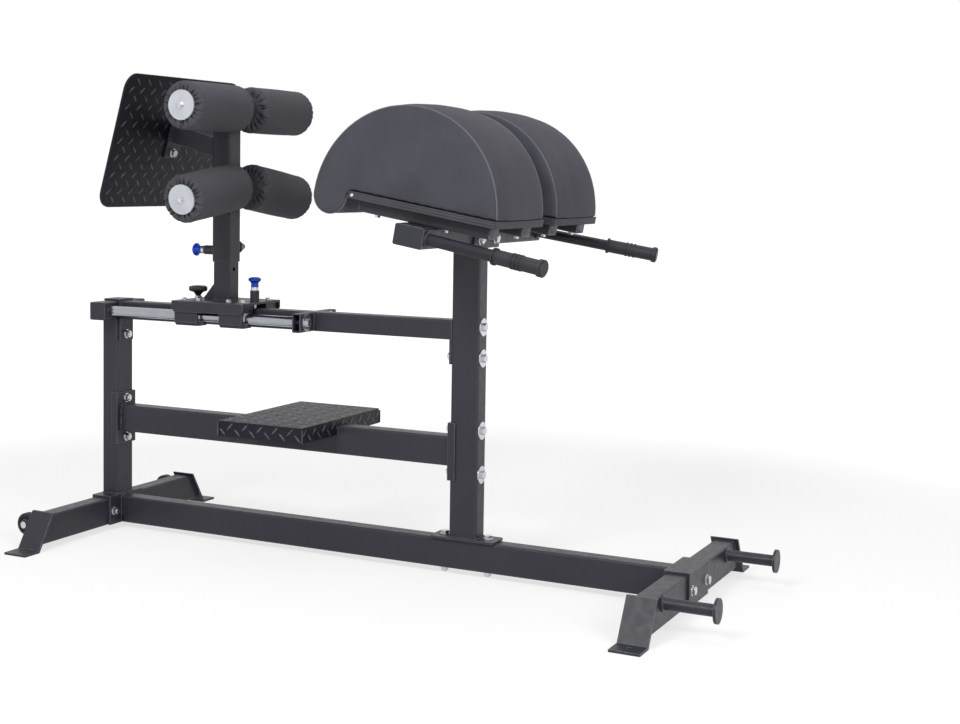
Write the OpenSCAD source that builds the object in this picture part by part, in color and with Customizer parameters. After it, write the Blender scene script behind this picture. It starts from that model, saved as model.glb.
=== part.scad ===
// Glute ham developer. Floor at z = 0, +X towards the handles, lengths in millimetres.
// The origin is on the floor, under the middle of the overall length and width.
// Right-hand pieces are on the -Y side and left-hand pieces on the +Y side.

/* [Frame] */
// Narrow side of the frame tubes
tube_w = 50; // [44:1:60]
// Wide side of the frame tubes
tube_h = 75; // [66:1:84]
// Wall of the frame tubes
tube_t = 3; // [2:0.5:4]
// Outer corner radius of the frame tubes
tube_r = 5; // [4:0.5:8]
// Height of the base's underside above the floor
base_gap = 16; // [15:1:30]
// Distance between the centre lines of the two cross bases
base_span = 1658; // [1560:1:1800]
// Length of each cross base along its top
base_width = 644; // [560:1:760]
// Distance from the main upright to the front cross base, centre to centre
main_to_front = 566; // [480:1:640]
// Height of the lower beam's centre line
lower_beam_z = 313; // [285:1:350]
// Height of the upper beam's centre line
upper_beam_z = 619; // [590:1:660]
// Height of the main upright's top, at its centre
main_top = 833; // [800:1:900]
// Thickness of the bolted plates
plate_t = 6; // [4:0.5:7]
// Width of the saddles that hold the cross bases
saddle_w = 152; // [130:1:180]

/* [Feet] */
// How far each foot plate slants outwards from top to floor
foot_run = 62; // [45:1:80]
// How far the floor flange reaches past the slanted plate
foot_flange = 58; // [45:1:75]
// Width of the feet
foot_w = 70; // [60:1:80]
// Thickness of the feet
foot_t = 6; // [4:0.5:8]
// Diameter of the floor bolt hole in each foot
foot_hole_d = 12; // [9:0.5:16]
// Transport wheel diameter
wheel_d = 60; // [50:1:70]
// Transport wheel width
wheel_w = 24; // [18:1:30]
// Height of the transport wheel's axle
wheel_z = 56; // [46:1:62]
// Inset of the transport wheel from the end of the cross base
wheel_inset = 17; // [12:1:60]

/* [Storage pegs] */
// Distance between the two pegs
peg_spread = 516; // [400:1:560]
// Height of the pegs
peg_z = 70; // [62:1:74]
// Diameter of the pegs
peg_d = 28; // [20:1:32]
// How far a peg stands out, with its disc
peg_len = 125; // [100:1:160]
// Diameter of the disc on a peg's end
peg_disc_d = 57; // [45:1:70]

/* [Fasteners] */
// Diameter of the frame bolts
bolt_d = 12; // [10:0.5:13]
// Diameter of the large frame washers
washer_d = 45; // [36:1:47]
// Diameter of the small bolts
small_bolt_d = 8; // [6:0.5:9]

/* [Guide rods and carriage] */
// Diameter of the guide rods
rod_d = 28; // [24:1:30]
// Distance between the guide rods' centre lines
rod_spread = 124; // [118:1:130]
// Length of the rear tube that holds the guide rods
rod_tube_len = 188; // [182:1:200]
// Width of the front tubes that hold the guide rods
front_rod_tube_w = 25; // [22:1:32]
// Distance from the main upright back to the front rod tubes
rod_front_reach = 448; // [430:1:462]
// Distance from the main upright back to the foot post, at rest
carriage_reach = 726; // [716:1:734]
// Length of the carriage plate
carriage_len = 228; // [216:1:236]
// Overall width of the carriage plate
carriage_w = 192; // [184:1:204]
// Height of the carriage plate's side flanges, top included
carriage_flange = 30; // [22:1:36]
// Length of a bearing block
block_len = 72; // [60:1:76]
// Distance between the bearing blocks on one rod, centre to centre
block_pitch = 143; // [134:1:150]
// Width of a bearing block
block_w = 56; // [50:1:58]
// Outer diameter of the linear bushes
bush_d = 40; // [38:1:42]
// Pitch of the locating holes in the beam and in the foot post
hole_pitch = 50; // [40:1:60]
// Diameter of the locating pins
pin_d = 10; // [8:0.5:12]

/* [Foot post] */
// Outer side of the sliding tube
outer_post_w = 56; // [52:1:60]
// Wall of the sliding tube
outer_post_t = 2.5; // [2:0.25:3]
// Clearance on each side between the two post tubes
post_clear = 0.3; // [0.2:0.05:0.5]
// Height of the fixed inner tube's top
inner_post_top = 1090; // [1072:1:1110]
// Height of the sliding tube's lower end
outer_post_bottom = 766; // [750:1:770]
// Height of the sliding tube's upper end
outer_post_top = 1208; // [1200:1:1230]
// Distance from the sliding tube's lower end up to its pin
pin_above_end = 30; // [26:1:40]
// Distance from the sliding tube's lower end up to its clamping knob
clamp_above_end = 38; // [28:1:70]

/* [Foot plate] */
// Width of the foot plate
tread_w = 538; // [460:1:600]
// Height of the foot plate, along its slope
tread_h = 364; // [340:1:390]
// Thickness of the foot plate
tread_t = 5; // [3:0.5:7]
// Corner radius of the foot plate
tread_r = 44; // [30:1:60]
// Lean of the foot plate, in degrees
tread_lean = 15.8; // [12:0.1:18]
// Height at which the arm meets the foot plate
arm_z = 1116; // [1105:1:1122]
// Distance from the post back to the foot plate's face, at that height
arm_reach = 169; // [150:1:190]
// How far the foot plate's middle lies below the arm, along the slope
tread_drop = 30; // [15:1:40]
// Height of the arm's box section
arm_h = 50; // [40:1:56]

/* [Ankle rollers] */
// Diameter of the rollers
roller_d = 126; // [110:1:130]
// Length of a roller, without its end disc
roller_len = 252; // [220:1:280]
// Diameter of the roller axles
axle_d = 25; // [20:1:28]
// Distance from the post's centre forward to the roller axles
axle_front = 49; // [46:1:54]
// Height of the upper roller axle
upper_axle_z = 1176; // [1170:1:1185]
// Height of the lower roller axles, where they meet
lower_axle_z = 974; // [960:1:980]
// Droop of the lower rollers, in degrees
droop = 7.5; // [4:0.1:9]
// Diameter of the discs on the roller ends
disc_d = 77; // [70:1:90]
// Thickness of the discs on the roller ends
disc_t = 5; // [3:0.5:8]

/* [Thigh pads and handles] */
// Forward tilt of the pads and handles, in degrees
pad_tilt = 10; // [6:0.5:12]
// Length of the handle beam
handle_beam_len = 718; // [700:1:740]
// Width of one pad
pad_w = 293; // [270:1:300]
// Gap between the two pads
pad_gap = 72; // [60:1:80]
// Length of a pad
pad_len = 478; // [440:1:500]
// Height of a pad's round back above its board
pad_rise = 223; // [190:1:230]
// How far a pad's middle lies behind the handle beam
pad_back = 46; // [40:1:52]
// Radius of the rolled nose at a pad's rear end
pad_nose_r = 44; // [40:1:46]
// How far the crown of a pad swells above its seams
pad_crown = 9; // [4:0.5:12]
// Thickness of the padded boards
board_t = 18; // [15:0.5:21]
// Height of the rails under the boards
rail_h = 28; // [26:1:34]
// Width of the rails under the boards
rail_w = 50; // [40:1:54]
// Distance between the two rails under one pad, centre to centre
rail_spread = 192; // [180:1:204]
// Distance between the handles where they leave the beam
handle_spread = 674; // [660:1:680]
// Outward splay of the handles, in degrees
handle_splay = 10; // [0:0.5:14]
// Length of a handle
handle_len = 320; // [290:1:350]
// Diameter of the handles
handle_d = 28; // [24:1:30]
// Length of the rubber grips
grip_len = 132; // [110:1:150]
// Diameter of the rubber grips
grip_d = 34; // [32:1:38]

/* [Step] */
// Length of the step, along the beam
step_len = 252; // [220:1:280]
// Width of the step
step_w = 418; // [360:1:460]
// Height of the step's top above the beam it sits on
step_rise = 17; // [12:1:22]
// Depth of the step's turned-down edges
step_edge = 40; // [34:1:46]
// Thickness of the step's plate
step_t = 4; // [3:0.5:5]
// Distance from the main upright back to the step's middle
step_reach = 486; // [440:1:520]

/* [Hidden] */
$fn = 48;

// Colours
black = [0.16, 0.16, 0.17];
dark = [0.1, 0.1, 0.11];
fabric_grey = [0.26, 0.26, 0.28];
disc_grey = [0.75, 0.76, 0.78];
zinc = [0.78, 0.79, 0.8];
steel = [0.7, 0.71, 0.73];
blue = [0.1, 0.22, 0.62];

// Clearance round a bolt in its hole, and of a turning fit
hole_clear = 0.5;
run_clear = 0.05;
soft_gap = 0.3;
soft_room = 8;
hole_d = bolt_d + 2 * hole_clear;
small_hole_d = small_bolt_d + 2 * hole_clear;
nut_h = 0.8 * bolt_d;
head_h = 0.65 * bolt_d;
thin_washer_t = 2;

// Places along X
wheel_gap = 4;
front_reach = main_to_front + tube_w / 2 + peg_len;
rear_reach = base_span - main_to_front + tube_w / 2 + wheel_gap + wheel_d;
x_main = (rear_reach - front_reach) / 2;
x_front = x_main + main_to_front;
x_rear = x_front - base_span;
x_post = x_main - carriage_reach;
x_rod_front = x_main - rod_front_reach;
x_step = x_main - step_reach;

// Locating holes, counted from each pin's place at rest
first_beam_hole = -4;
last_beam_hole = 2;
first_post_hole = -1;
last_post_hole = 5;

// Heights
base_mid = base_gap + tube_h / 2;
base_top = base_gap + tube_h;
upright_foot = base_top + plate_t;
upper_top = upper_beam_z + tube_w / 2;
upper_bottom = upper_beam_z - tube_w / 2;
lower_top = lower_beam_z + tube_h / 2;
deck_gap = 11;
deck_bottom = upper_top + deck_gap;
deck_top = deck_bottom + plate_t;

// Feet
foot_top = base_top + plate_t;
foot_slant = foot_run / foot_top;
foot_hole_y = base_width / 2 + foot_run + foot_flange * 0.45;

// Bolt places
saddle_bolt_y = saddle_w * 0.38;
plate_edge = 1.45 * bolt_d;
lower_bolt_rise = tube_h / 2 + 1.5 * bolt_d;
upper_bolt_high = 0.18 * tube_w;
upper_bolt_low = 1.38 * tube_w;
foot_bolt_x = tube_h / 2 + 1.8 * bolt_d;
foot_plate_half = foot_bolt_x + 2.3 * bolt_d;
foot_plate_w = 1.4 * tube_w;
lower_plate_half = lower_bolt_rise + plate_edge;
saddle_t = 5;
saddle_lap = 0.3 * tube_w;
upper_plate_drop = upper_bolt_low + plate_edge;
lap_plate_w = 1.2 * tube_w;

// Rods and blocks
rod_y = rod_spread / 2;
spigot_d = 0.7 * rod_d;
block_bottom = upper_beam_z - bush_d / 2 - 5;
block_chamfer = 9;
block_screw_x = 23;
carriage_flange_t = 5.5;
carriage_chamfer = 9;
block_screw_len = 12;

// Pull pins
housing_d = 25;
housing_len = 30;
collar_len = 9;
pull_knob_d = 35;
pull_knob_len = 27;
pin_boss_len = 10;
pin_bite = 12;
carriage_pin_x = 92;
brake_x = -91;
brake_knob_d = 52;
brake_stud_d = 12;
clamp_knob_d = 44;

// Post
post_pin_z = outer_post_bottom + pin_above_end;
clamp_z = outer_post_bottom + clamp_above_end;
inner_post_w = outer_post_w - 2 * outer_post_t - 2 * post_clear;
inner_post_t = 3;
gusset_len = 43;
gusset_h = 52;
gusset_t = 8;
boss_half = 28;
boss_d = axle_d + 13;
roller_start = boss_half + 2;
roller_end = roller_start + roller_len;
low_roller_start = roller_start + 4;
arm_w = 0.82 * outer_post_w;
flange_w = 1.3 * arm_w;
arm_bolt = arm_h / 2 + 2.6 * bolt_d;
flange_h = 2 * (arm_bolt + 1.25 * bolt_d);

// Pads, in the tilted frame of the handle beam
beam_half = tube_w / 2;
rail_top = beam_half + rail_h;
board_top = rail_top + board_t;
pad_mid_y = (pad_gap + pad_w) / 2;
pad_front = pad_len / 2 - pad_back;
pad_rear = -pad_len / 2 - pad_back;
board_rear = pad_rear + 2 * pad_nose_r + soft_room;
rail_front = pad_front - 0.4 * rail_w;
rail_rear = board_rear + 0.44 * rail_w;
pad_bolts_u = [rail_front - 0.44 * rail_w, tube_h / 2 + 2 * small_bolt_d, rail_rear + 0.8 * rail_w];
saddle_reach = saddle_w / 2;
saddle_bolt_reach = 0.6 * saddle_reach;
saddle_bolt_drop = 0.16 * tube_w;

// A rectangle with round corners, centred
module round_rect(a, b, r) {
    square([a - 2 * r, b], center = true);
    square([a, b - 2 * r], center = true);
    for (i = [-1, 1])
        for (j = [-1, 1])
            translate([i * (a / 2 - r), j * (b / 2 - r)]) circle(r);
}

module tube_section(a, b, t, r) {
    difference() {
        round_rect(a, b, r);
        round_rect(a - 2 * t, b - 2 * t, max(r - t, 1));
    }
}

// A tube from x0 to x1, a wide along Y and b high
module tube_x(x0, x1, a, b, t = tube_t, r = tube_r) {
    translate([x0, 0, 0]) rotate([90, 0, 90]) linear_extrude(x1 - x0) tube_section(a, b, t, r);
}

// A tube from y0 to y1, a wide along X and b high
module tube_y(y0, y1, a, b, t = tube_t, r = tube_r) {
    translate([0, y1, 0]) rotate([90, 0, 0]) linear_extrude(y1 - y0) tube_section(a, b, t, r);
}

// A tube from z0 to z1, a wide along X and b along Y
module tube_z(z0, z1, a, b, t = tube_t, r = tube_r) {
    translate([0, 0, z0]) linear_extrude(z1 - z0) tube_section(a, b, t, r);
}

module box(x0, x1, y0, y1, z0, z1) {
    translate([x0, y0, z0]) cube([x1 - x0, y1 - y0, z1 - z0]);
}

module rod_x(d, x0, x1) {
    translate([x0, 0, 0]) rotate([0, 90, 0]) cylinder(d = d, h = x1 - x0);
}

module rod_y(d, y0, y1) {
    translate([0, y0, 0]) rotate([-90, 0, 0]) cylinder(d = d, h = y1 - y0);
}

module rod_z(d, z0, z1) {
    translate([0, 0, z0]) cylinder(d = d, h = z1 - z0);
}

module both_sides() {
    for (s = [-1, 1]) scale_y(s) children();
}

// Keeps a piece, or mirrors it to the other side
module scale_y(s) {
    if (s > 0) children();
    else mirror([0, 1, 0]) children();
}

// A bolt along +Z: its head stands on z = 0 and its nut is under z = -grip
module bolt(grip, head_washer = 0) {
    wide = head_washer > 0 ? head_washer : 2.1 * bolt_d;
    nut = -grip - thin_washer_t - nut_h;
    rod_z(wide, 0, thin_washer_t);
    translate([0, 0, thin_washer_t]) cylinder(d = 1.75 * bolt_d, h = head_h, $fn = 6);
    rod_z(bolt_d, nut - 3, thin_washer_t);
    rod_z(2.1 * bolt_d, -grip - thin_washer_t, -grip);
    translate([0, 0, nut]) cylinder(d = 1.75 * bolt_d, h = nut_h, $fn = 6);
}

// A screw along +Z with no nut
module screw(len, d = small_bolt_d, washer = 0) {
    w = washer > 0 ? washer : 2 * d;
    rod_z(w, 0, thin_washer_t);
    translate([0, 0, thin_washer_t]) cylinder(d = 1.75 * d, h = 0.65 * d, $fn = 6);
    rod_z(d, -len, thin_washer_t);
}

// Puts a child's +Z along +X or -X
module along_x(s = 1) {
    rotate([0, s * 90, 0]) children();
}

// The tilted frame of the handle beam: its +X runs forward and down
module tilted() {
    translate([x_main, 0, main_top])
        rotate([0, pad_tilt, 0])
            translate([0, 0, beam_half + plate_t]) children();
}

// A saddle over a cross base: top plate and both side plates
module base_saddle(x) {
    half = tube_w / 2;
    box(x - half - plate_t, x + half + plate_t, -saddle_w / 2, saddle_w / 2, base_top, base_top + plate_t);
    for (s = [-1, 1])
        box(
            x + (s > 0 ? half : -half - plate_t), x + (s > 0 ? half + plate_t : -half),
            -saddle_w / 2, saddle_w / 2, base_gap, base_top + plate_t / 2
        );
}

module base_bolt_holes(x) {
    for (s = [-1, 1])
        translate([0, s * saddle_bolt_y, base_mid]) rod_x(hole_d, x - tube_w, x + tube_w);
}

module base_beam() {
    color(black) difference() {
        union() {
            translate([0, 0, base_mid])
                tube_x(x_rear + tube_w / 2 + plate_t, x_front - tube_w / 2 - plate_t, tube_w, tube_h);
            base_saddle(x_rear);
            base_saddle(x_front);
        }
        base_bolt_holes(x_rear);
        base_bolt_holes(x_front);
        for (s = [-1, 1])
            translate([x_main + s * foot_bolt_x, 0, 0]) rod_z(hole_d, base_gap - 1, base_top + 1);
    }
}

function foot_in(z) = base_width / 2 + (foot_top - z) * foot_slant;

// One foot: a slanted plate bent out along the floor
module foot() {
    skin = foot_t * sqrt(1 + foot_slant * foot_slant);
    outer = foot_in(0) + foot_flange;
    difference() {
        rotate([90, 0, 90]) linear_extrude(foot_w, center = true) polygon([
            [foot_in(foot_top), foot_top],
            [foot_in(foot_top) + skin, foot_top],
            [foot_in(foot_t) + skin, foot_t],
            [outer, foot_t],
            [outer, 0],
            [foot_in(0), 0]
        ]);
        translate([0, foot_hole_y, 0]) rod_z(foot_hole_d, -1, foot_t + 1);
    }
}

module cross_base() {
    reach = foot_in(0);
    difference() {
        translate([0, 0, base_mid]) tube_y(-reach, reach, tube_w, tube_h);
        both_sides()
            rotate([90, 0, 90]) linear_extrude(2 * tube_w, center = true) polygon([
                [foot_in(foot_top), foot_top],
                [foot_in(0), 0],
                [reach + tube_h, 0],
                [reach + tube_h, foot_top]
            ]);
        base_bolt_holes(0);
    }
    both_sides() foot();
}

wheel_y = base_width / 2 - wheel_inset + wheel_w / 2;
wheel_x = x_rear - tube_w / 2 - wheel_gap - wheel_d / 2;
ear_t = 5;
ear_h = 28;
wheel_side_gap = 1;
axle_bolt_d = 10;

module wheel_ears() {
    for (s = [-1, 1])
        translate([wheel_x - x_rear, wheel_y + s * (wheel_w / 2 + wheel_side_gap + ear_t / 2), wheel_z]) {
            difference() {
                union() {
                    box(0, wheel_d / 2 + wheel_gap, -ear_t / 2, ear_t / 2, -ear_h / 2, ear_h / 2);
                    rod_y(ear_h, -ear_t / 2, ear_t / 2);
                }
                rod_y(axle_bolt_d + 2 * run_clear, -ear_t, ear_t);
            }
        }
}

module rear_cross_base() {
    color(black) translate([x_rear, 0, 0]) {
        cross_base();
        both_sides() wheel_ears();
    }
}

module front_cross_base() {
    color(black) translate([x_front, 0, 0]) cross_base();
}

module storage_pegs() {
    root = 4;
    disc = 7;
    color(black) both_sides()
        translate([x_front + tube_w / 2, peg_spread / 2, peg_z]) {
            rod_x(peg_d + 10, 0, root);
            rod_x(peg_d, 0, peg_len - disc / 2);
            rod_x(peg_disc_d, peg_len - disc, peg_len);
        }
}

module base_bolts() {
    color(zinc) {
        for (s = [-1, 1]) {
            translate([x_front + tube_w / 2 + plate_t, s * saddle_bolt_y, base_mid])
                along_x() bolt(tube_w + 2 * plate_t);
            translate([x_rear - tube_w / 2 - plate_t, s * saddle_bolt_y, base_mid])
                along_x(-1) bolt(tube_w + 2 * plate_t);
        }
    }
}

module wheel_axles() {
    half = wheel_w / 2 + wheel_side_gap + ear_t;
    color(zinc) both_sides()
        translate([wheel_x, wheel_y, wheel_z]) {
            rod_y(axle_bolt_d, -half - 8, half + 2);
            rod_y(axle_bolt_d * 1.8, half, half + 4);
            translate([0, -half, 0]) rotate([90, 0, 0]) cylinder(d = axle_bolt_d * 1.7, h = 7, $fn = 6);
        }
}

module transport_wheel() {
    tread_r = 4;
    translate([wheel_x, wheel_y, wheel_z]) rotate([90, 0, 0]) rotate_extrude($fn = 64)
        difference() {
            union() {
                translate([axle_bolt_d / 2 + run_clear, -wheel_w / 2])
                    square([8, wheel_w]);
                translate([axle_bolt_d / 2 + run_clear, -wheel_w / 2 + 4])
                    square([wheel_d / 2 - 8 - axle_bolt_d / 2, wheel_w - 8]);
                translate([wheel_d / 2 - 9, -wheel_w / 2 + tread_r]) square([9, wheel_w - 2 * tread_r]);
                translate([wheel_d / 2 - 9, -wheel_w / 2]) square([9 - tread_r, wheel_w]);
                for (j = [-1, 1])
                    translate([wheel_d / 2 - tread_r, j * (wheel_w / 2 - tread_r)]) circle(tread_r);
            }
        }
}

module transport_wheel_left() {
    color(dark) transport_wheel();
}

module transport_wheel_right() {
    color(dark) mirror([0, 1, 0]) transport_wheel();
}

module rear_upright() {
    color(black) translate([x_rear, 0, 0]) difference() {
        tube_z(upright_foot, upper_bottom, tube_w, tube_h);
        for (s = [-1, 1])
            translate([0, 0, lower_beam_z + s * lower_bolt_rise]) rod_x(hole_d, -tube_w, tube_w);
        translate([0, 0, upper_beam_z - upper_bolt_low]) rod_x(hole_d, -tube_w, tube_w);
        translate([0, 0, upright_foot + 14]) rod_x(7, 0, tube_w);
    }
}

// The cradle that the handle beam lies in, in the tilted frame
module beam_cradle() {
    half = tube_h / 2;
    box(-half - plate_t, half + plate_t, -saddle_reach, saddle_reach, -beam_half - plate_t, -beam_half);
    for (s = [-1, 1])
        box(
            s > 0 ? half : -half - plate_t, s > 0 ? half + plate_t : -half,
            -saddle_reach, saddle_reach, -beam_half - plate_t / 2, beam_half - 14
        );
}

module cradle_bolt_holes() {
    for (s = [-1, 1])
        translate([0, s * saddle_bolt_reach, -saddle_bolt_drop]) rod_x(hole_d, -tube_h, tube_h);
}

module main_upright() {
    color(black) difference() {
        union() {
            translate([x_main, 0, 0]) difference() {
                tube_z(base_top + plate_t / 2, main_top + tube_w, tube_h, tube_w);
                translate([0, 0, main_top]) rotate([0, pad_tilt, 0])
                    translate([-tube_h, -tube_w, 0]) cube([2 * tube_h, 2 * tube_w, 3 * tube_h]);
            }
            translate([x_main, 0, base_top]) linear_extrude(plate_t)
                round_rect(2 * foot_plate_half, foot_plate_w, 8);
            tilted() beam_cradle();
        }
        tilted() cradle_bolt_holes();
        for (s = [-1, 1]) {
            translate([x_main + s * foot_bolt_x, 0, 0]) rod_z(hole_d, base_top - 1, upright_foot + 1);
            translate([x_main, 0, lower_beam_z + s * lower_bolt_rise]) rod_x(hole_d, -tube_h, tube_h);
        }
        for (z = [upper_bolt_high, -upper_bolt_low])
            translate([x_main, 0, upper_beam_z + z]) rod_x(hole_d, -tube_h, tube_h);
    }
}

module upright_foot_bolts() {
    color(zinc) for (s = [-1, 1])
        translate([x_main + s * foot_bolt_x, 0, upright_foot]) bolt(upright_foot - base_gap);
}

// A plate across a beam's end that laps round both sides of an upright of width w
module wrap_plate(w, up, down, lap) {
    box(-saddle_t, 0, -w / 2 - saddle_t, w / 2 + saddle_t, -down, up);
    for (s = [-1, 1])
        box(
            -saddle_t, lap,
            s > 0 ? w / 2 : -w / 2 - saddle_t, s > 0 ? w / 2 + saddle_t : -w / 2, -down, up
        );
}

x_lower_rear = x_rear + tube_w / 2;
x_lower_front = x_main - tube_h / 2;

module lower_beam() {
    color(black) translate([0, 0, lower_beam_z]) difference() {
        union() {
            tube_x(x_lower_rear + saddle_t / 2, x_lower_front - saddle_t / 2, tube_w, tube_h);
            translate([x_lower_front, 0, 0])
                wrap_plate(tube_w, lower_plate_half, lower_plate_half, saddle_lap);
            translate([x_lower_rear, 0, 0]) mirror([1, 0, 0])
                wrap_plate(tube_h, lower_plate_half, lower_plate_half, saddle_lap);
        }
        for (s = [-1, 1]) translate([0, 0, s * lower_bolt_rise]) {
            rod_x(hole_d, x_lower_rear - 1, x_lower_rear + saddle_t + 1);
            rod_x(hole_d, x_lower_front - saddle_t - 1, x_lower_front + 1);
        }
    }
}

module lower_beam_bolts() {
    color(zinc) for (s = [-1, 1]) {
        translate([x_main + tube_h / 2, 0, lower_beam_z + s * lower_bolt_rise])
            along_x() bolt(tube_h + saddle_t, head_washer = washer_d);
        translate([x_rear - tube_w / 2, 0, lower_beam_z + s * lower_bolt_rise])
            along_x(-1) bolt(tube_w + saddle_t, head_washer = washer_d);
    }
}

module upper_beam() {
    color(black) difference() {
        union() {
            translate([0, 0, upper_beam_z])
                tube_x(x_rear + tube_w / 2 + plate_t / 2, x_main - tube_h / 2 - plate_t / 2, tube_w, tube_w);
            box(
                x_main - tube_h / 2 - plate_t, x_main - tube_h / 2,
                -tube_w / 2, tube_w / 2, upper_beam_z - upper_plate_drop, upper_top
            );
            box(
                x_rear + tube_w / 2, x_rear + tube_w / 2 + plate_t,
                -lap_plate_w / 2, lap_plate_w / 2, upper_beam_z - upper_plate_drop, upper_top + plate_t
            );
            box(
                x_rear - tube_w / 2, x_rear + tube_w / 2 + plate_t,
                -lap_plate_w / 2, lap_plate_w / 2, upper_top, upper_top + plate_t
            );
        }
        for (i = [first_beam_hole : last_beam_hole])
            translate([x_post + carriage_pin_x + i * hole_pitch, 0, 0])
                rod_z(pin_d + 2, upper_beam_z, upper_top + 1);
        for (z = [upper_bolt_high, -upper_bolt_low])
            translate([x_main - tube_h / 2, 0, upper_beam_z + z]) rod_x(hole_d, -plate_t - 1, 1);
        translate([x_rear + tube_w / 2, 0, upper_beam_z - upper_bolt_low]) rod_x(hole_d, -1, plate_t + 1);
    }
}

module upper_beam_bolts() {
    color(zinc) {
        for (z = [upper_bolt_high, -upper_bolt_low])
            translate([x_main + tube_h / 2, 0, upper_beam_z + z])
                along_x() bolt(tube_h + plate_t, head_washer = washer_d);
        translate([x_rear - tube_w / 2, 0, upper_beam_z - upper_bolt_low])
            along_x(-1) bolt(tube_w + plate_t, head_washer = washer_d);
    }
}

module rear_rod_tube() {
    color(black) translate([x_rear, 0, upper_beam_z]) difference() {
        union() {
            tube_y(-rod_tube_len / 2, rod_tube_len / 2, tube_w, tube_w);
            both_sides() translate([0, rod_tube_len / 2, 0]) rotate([90, 0, 0])
                linear_extrude(tube_t) round_rect(tube_w, tube_w, tube_r);
        }
        for (s = [-1, 1]) translate([0, s * rod_y, 0]) {
            rod_x(rod_d + 2 * run_clear, 0, tube_w);
            rod_x(hole_d, -tube_w, 0);
        }
    }
}

module front_rod_tubes() {
    color(black) translate([x_rod_front, 0, upper_beam_z]) both_sides() difference() {
        tube_y(tube_w / 2, rod_tube_len / 2, front_rod_tube_w, tube_w, tube_t, tube_r - 1);
        translate([0, rod_y, 0]) {
            rod_x(spigot_d + 2 * run_clear, -front_rod_tube_w, 0);
            rod_x(hole_d, 0, front_rod_tube_w);
        }
    }
}

rod_thread = 30;
rod_screw_len = rod_thread - 2;
rod_rear_end = x_rear - tube_w / 2 + tube_t;
rod_front_end = x_rod_front + front_rod_tube_w / 2 - tube_t;
rod_shoulder = x_rod_front - front_rod_tube_w / 2;

module guide_rods() {
    color(steel) for (s = [-1, 1]) translate([0, s * rod_y, upper_beam_z]) difference() {
        union() {
            rod_x(rod_d, rod_rear_end, rod_shoulder);
            rod_x(spigot_d, rod_shoulder - 1, rod_front_end);
        }
        rod_x(bolt_d + 2 * run_clear, rod_rear_end - 1, rod_rear_end + rod_thread);
        rod_x(bolt_d + 2 * run_clear, rod_front_end - rod_thread, rod_front_end + 1);
    }
}

module rod_bolts() {
    color(zinc) for (s = [-1, 1]) translate([0, s * rod_y, upper_beam_z]) {
        translate([x_rod_front + front_rod_tube_w / 2, 0, 0]) along_x() screw(rod_screw_len, bolt_d, washer_d);
        translate([x_rear - tube_w / 2, 0, 0]) along_x(-1) screw(rod_screw_len, bolt_d, washer_d);
    }
}

step_top = lower_top + step_rise;

module step_plate() {
    half_x = step_len / 2;
    half_y = step_w / 2;
    corner = 6;
    notch = tube_w + 4;
    low = step_top - step_edge;
    color(black) translate([x_step, 0, 0]) difference() {
        translate([0, 0, low]) linear_extrude(step_edge) round_rect(step_len, step_w, corner);
        translate([0, 0, low - 1]) linear_extrude(step_edge - step_t + 1)
            round_rect(step_len - 2 * step_t, step_w - 2 * step_t, corner - step_t + 1);
        box(-half_x - 1, half_x + 1, -notch / 2, notch / 2, low - 1, lower_top);
    }
}

module handle_beam() {
    half = handle_beam_len / 2;
    color(black) tilted() difference() {
        tube_y(-half + tube_t, half - tube_t, tube_h, tube_w);
        cradle_bolt_holes();
    }
}

module handle_beam_caps() {
    color(black) tilted() both_sides() translate([0, handle_beam_len / 2, 0])
        rotate([90, 0, 0]) linear_extrude(tube_t) round_rect(tube_h, tube_w, tube_r);
}

module saddle_bolts() {
    color(zinc) tilted() for (s = [-1, 1])
        translate([tube_h / 2 + plate_t, s * saddle_bolt_reach, -saddle_bolt_drop])
            along_x() bolt(tube_h + 2 * plate_t);
}

module at_rails() {
    for (s = [-1, 1]) for (j = [-1, 1])
        translate([0, s * pad_mid_y + j * rail_spread / 2, 0]) children();
}

module pad_rails() {
    color(black) tilted() at_rails() difference() {
        translate([0, 0, beam_half + rail_h / 2])
            tube_x(rail_rear, rail_front, rail_w, rail_h, tube_t, tube_r - 1);
        for (u = pad_bolts_u) translate([u, 0, 0]) rod_z(small_hole_d, beam_half - 1, rail_top + 1);
    }
}

pad_screw_depth = 12;

module pad_bolts() {
    color(zinc) tilted() at_rails() for (u = pad_bolts_u)
        translate([u, 0, beam_half]) mirror([0, 0, 1]) screw(rail_h + pad_screw_depth);
}

module pad_board() {
    edge = board_t / 2;
    y0 = pad_gap / 2;
    difference() {
        translate([0, y0 + pad_w, 0]) rotate([90, 0, 0]) linear_extrude(pad_w) {
            translate([board_rear + edge, rail_top]) square([pad_front - board_rear - edge, board_t]);
            translate([board_rear + edge, rail_top + edge]) circle(edge);
        }
        for (j = [-1, 1]) for (u = pad_bolts_u)
            translate([u, pad_mid_y + j * rail_spread / 2, 0])
                rod_z(small_hole_d, rail_top - 1, rail_top + pad_screw_depth + 1);
    }
}

module pad_board_left() {
    color(fabric_grey) tilted() pad_board();
}

module pad_board_right() {
    color(fabric_grey) tilted() mirror([0, 1, 0]) pad_board();
}

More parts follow.
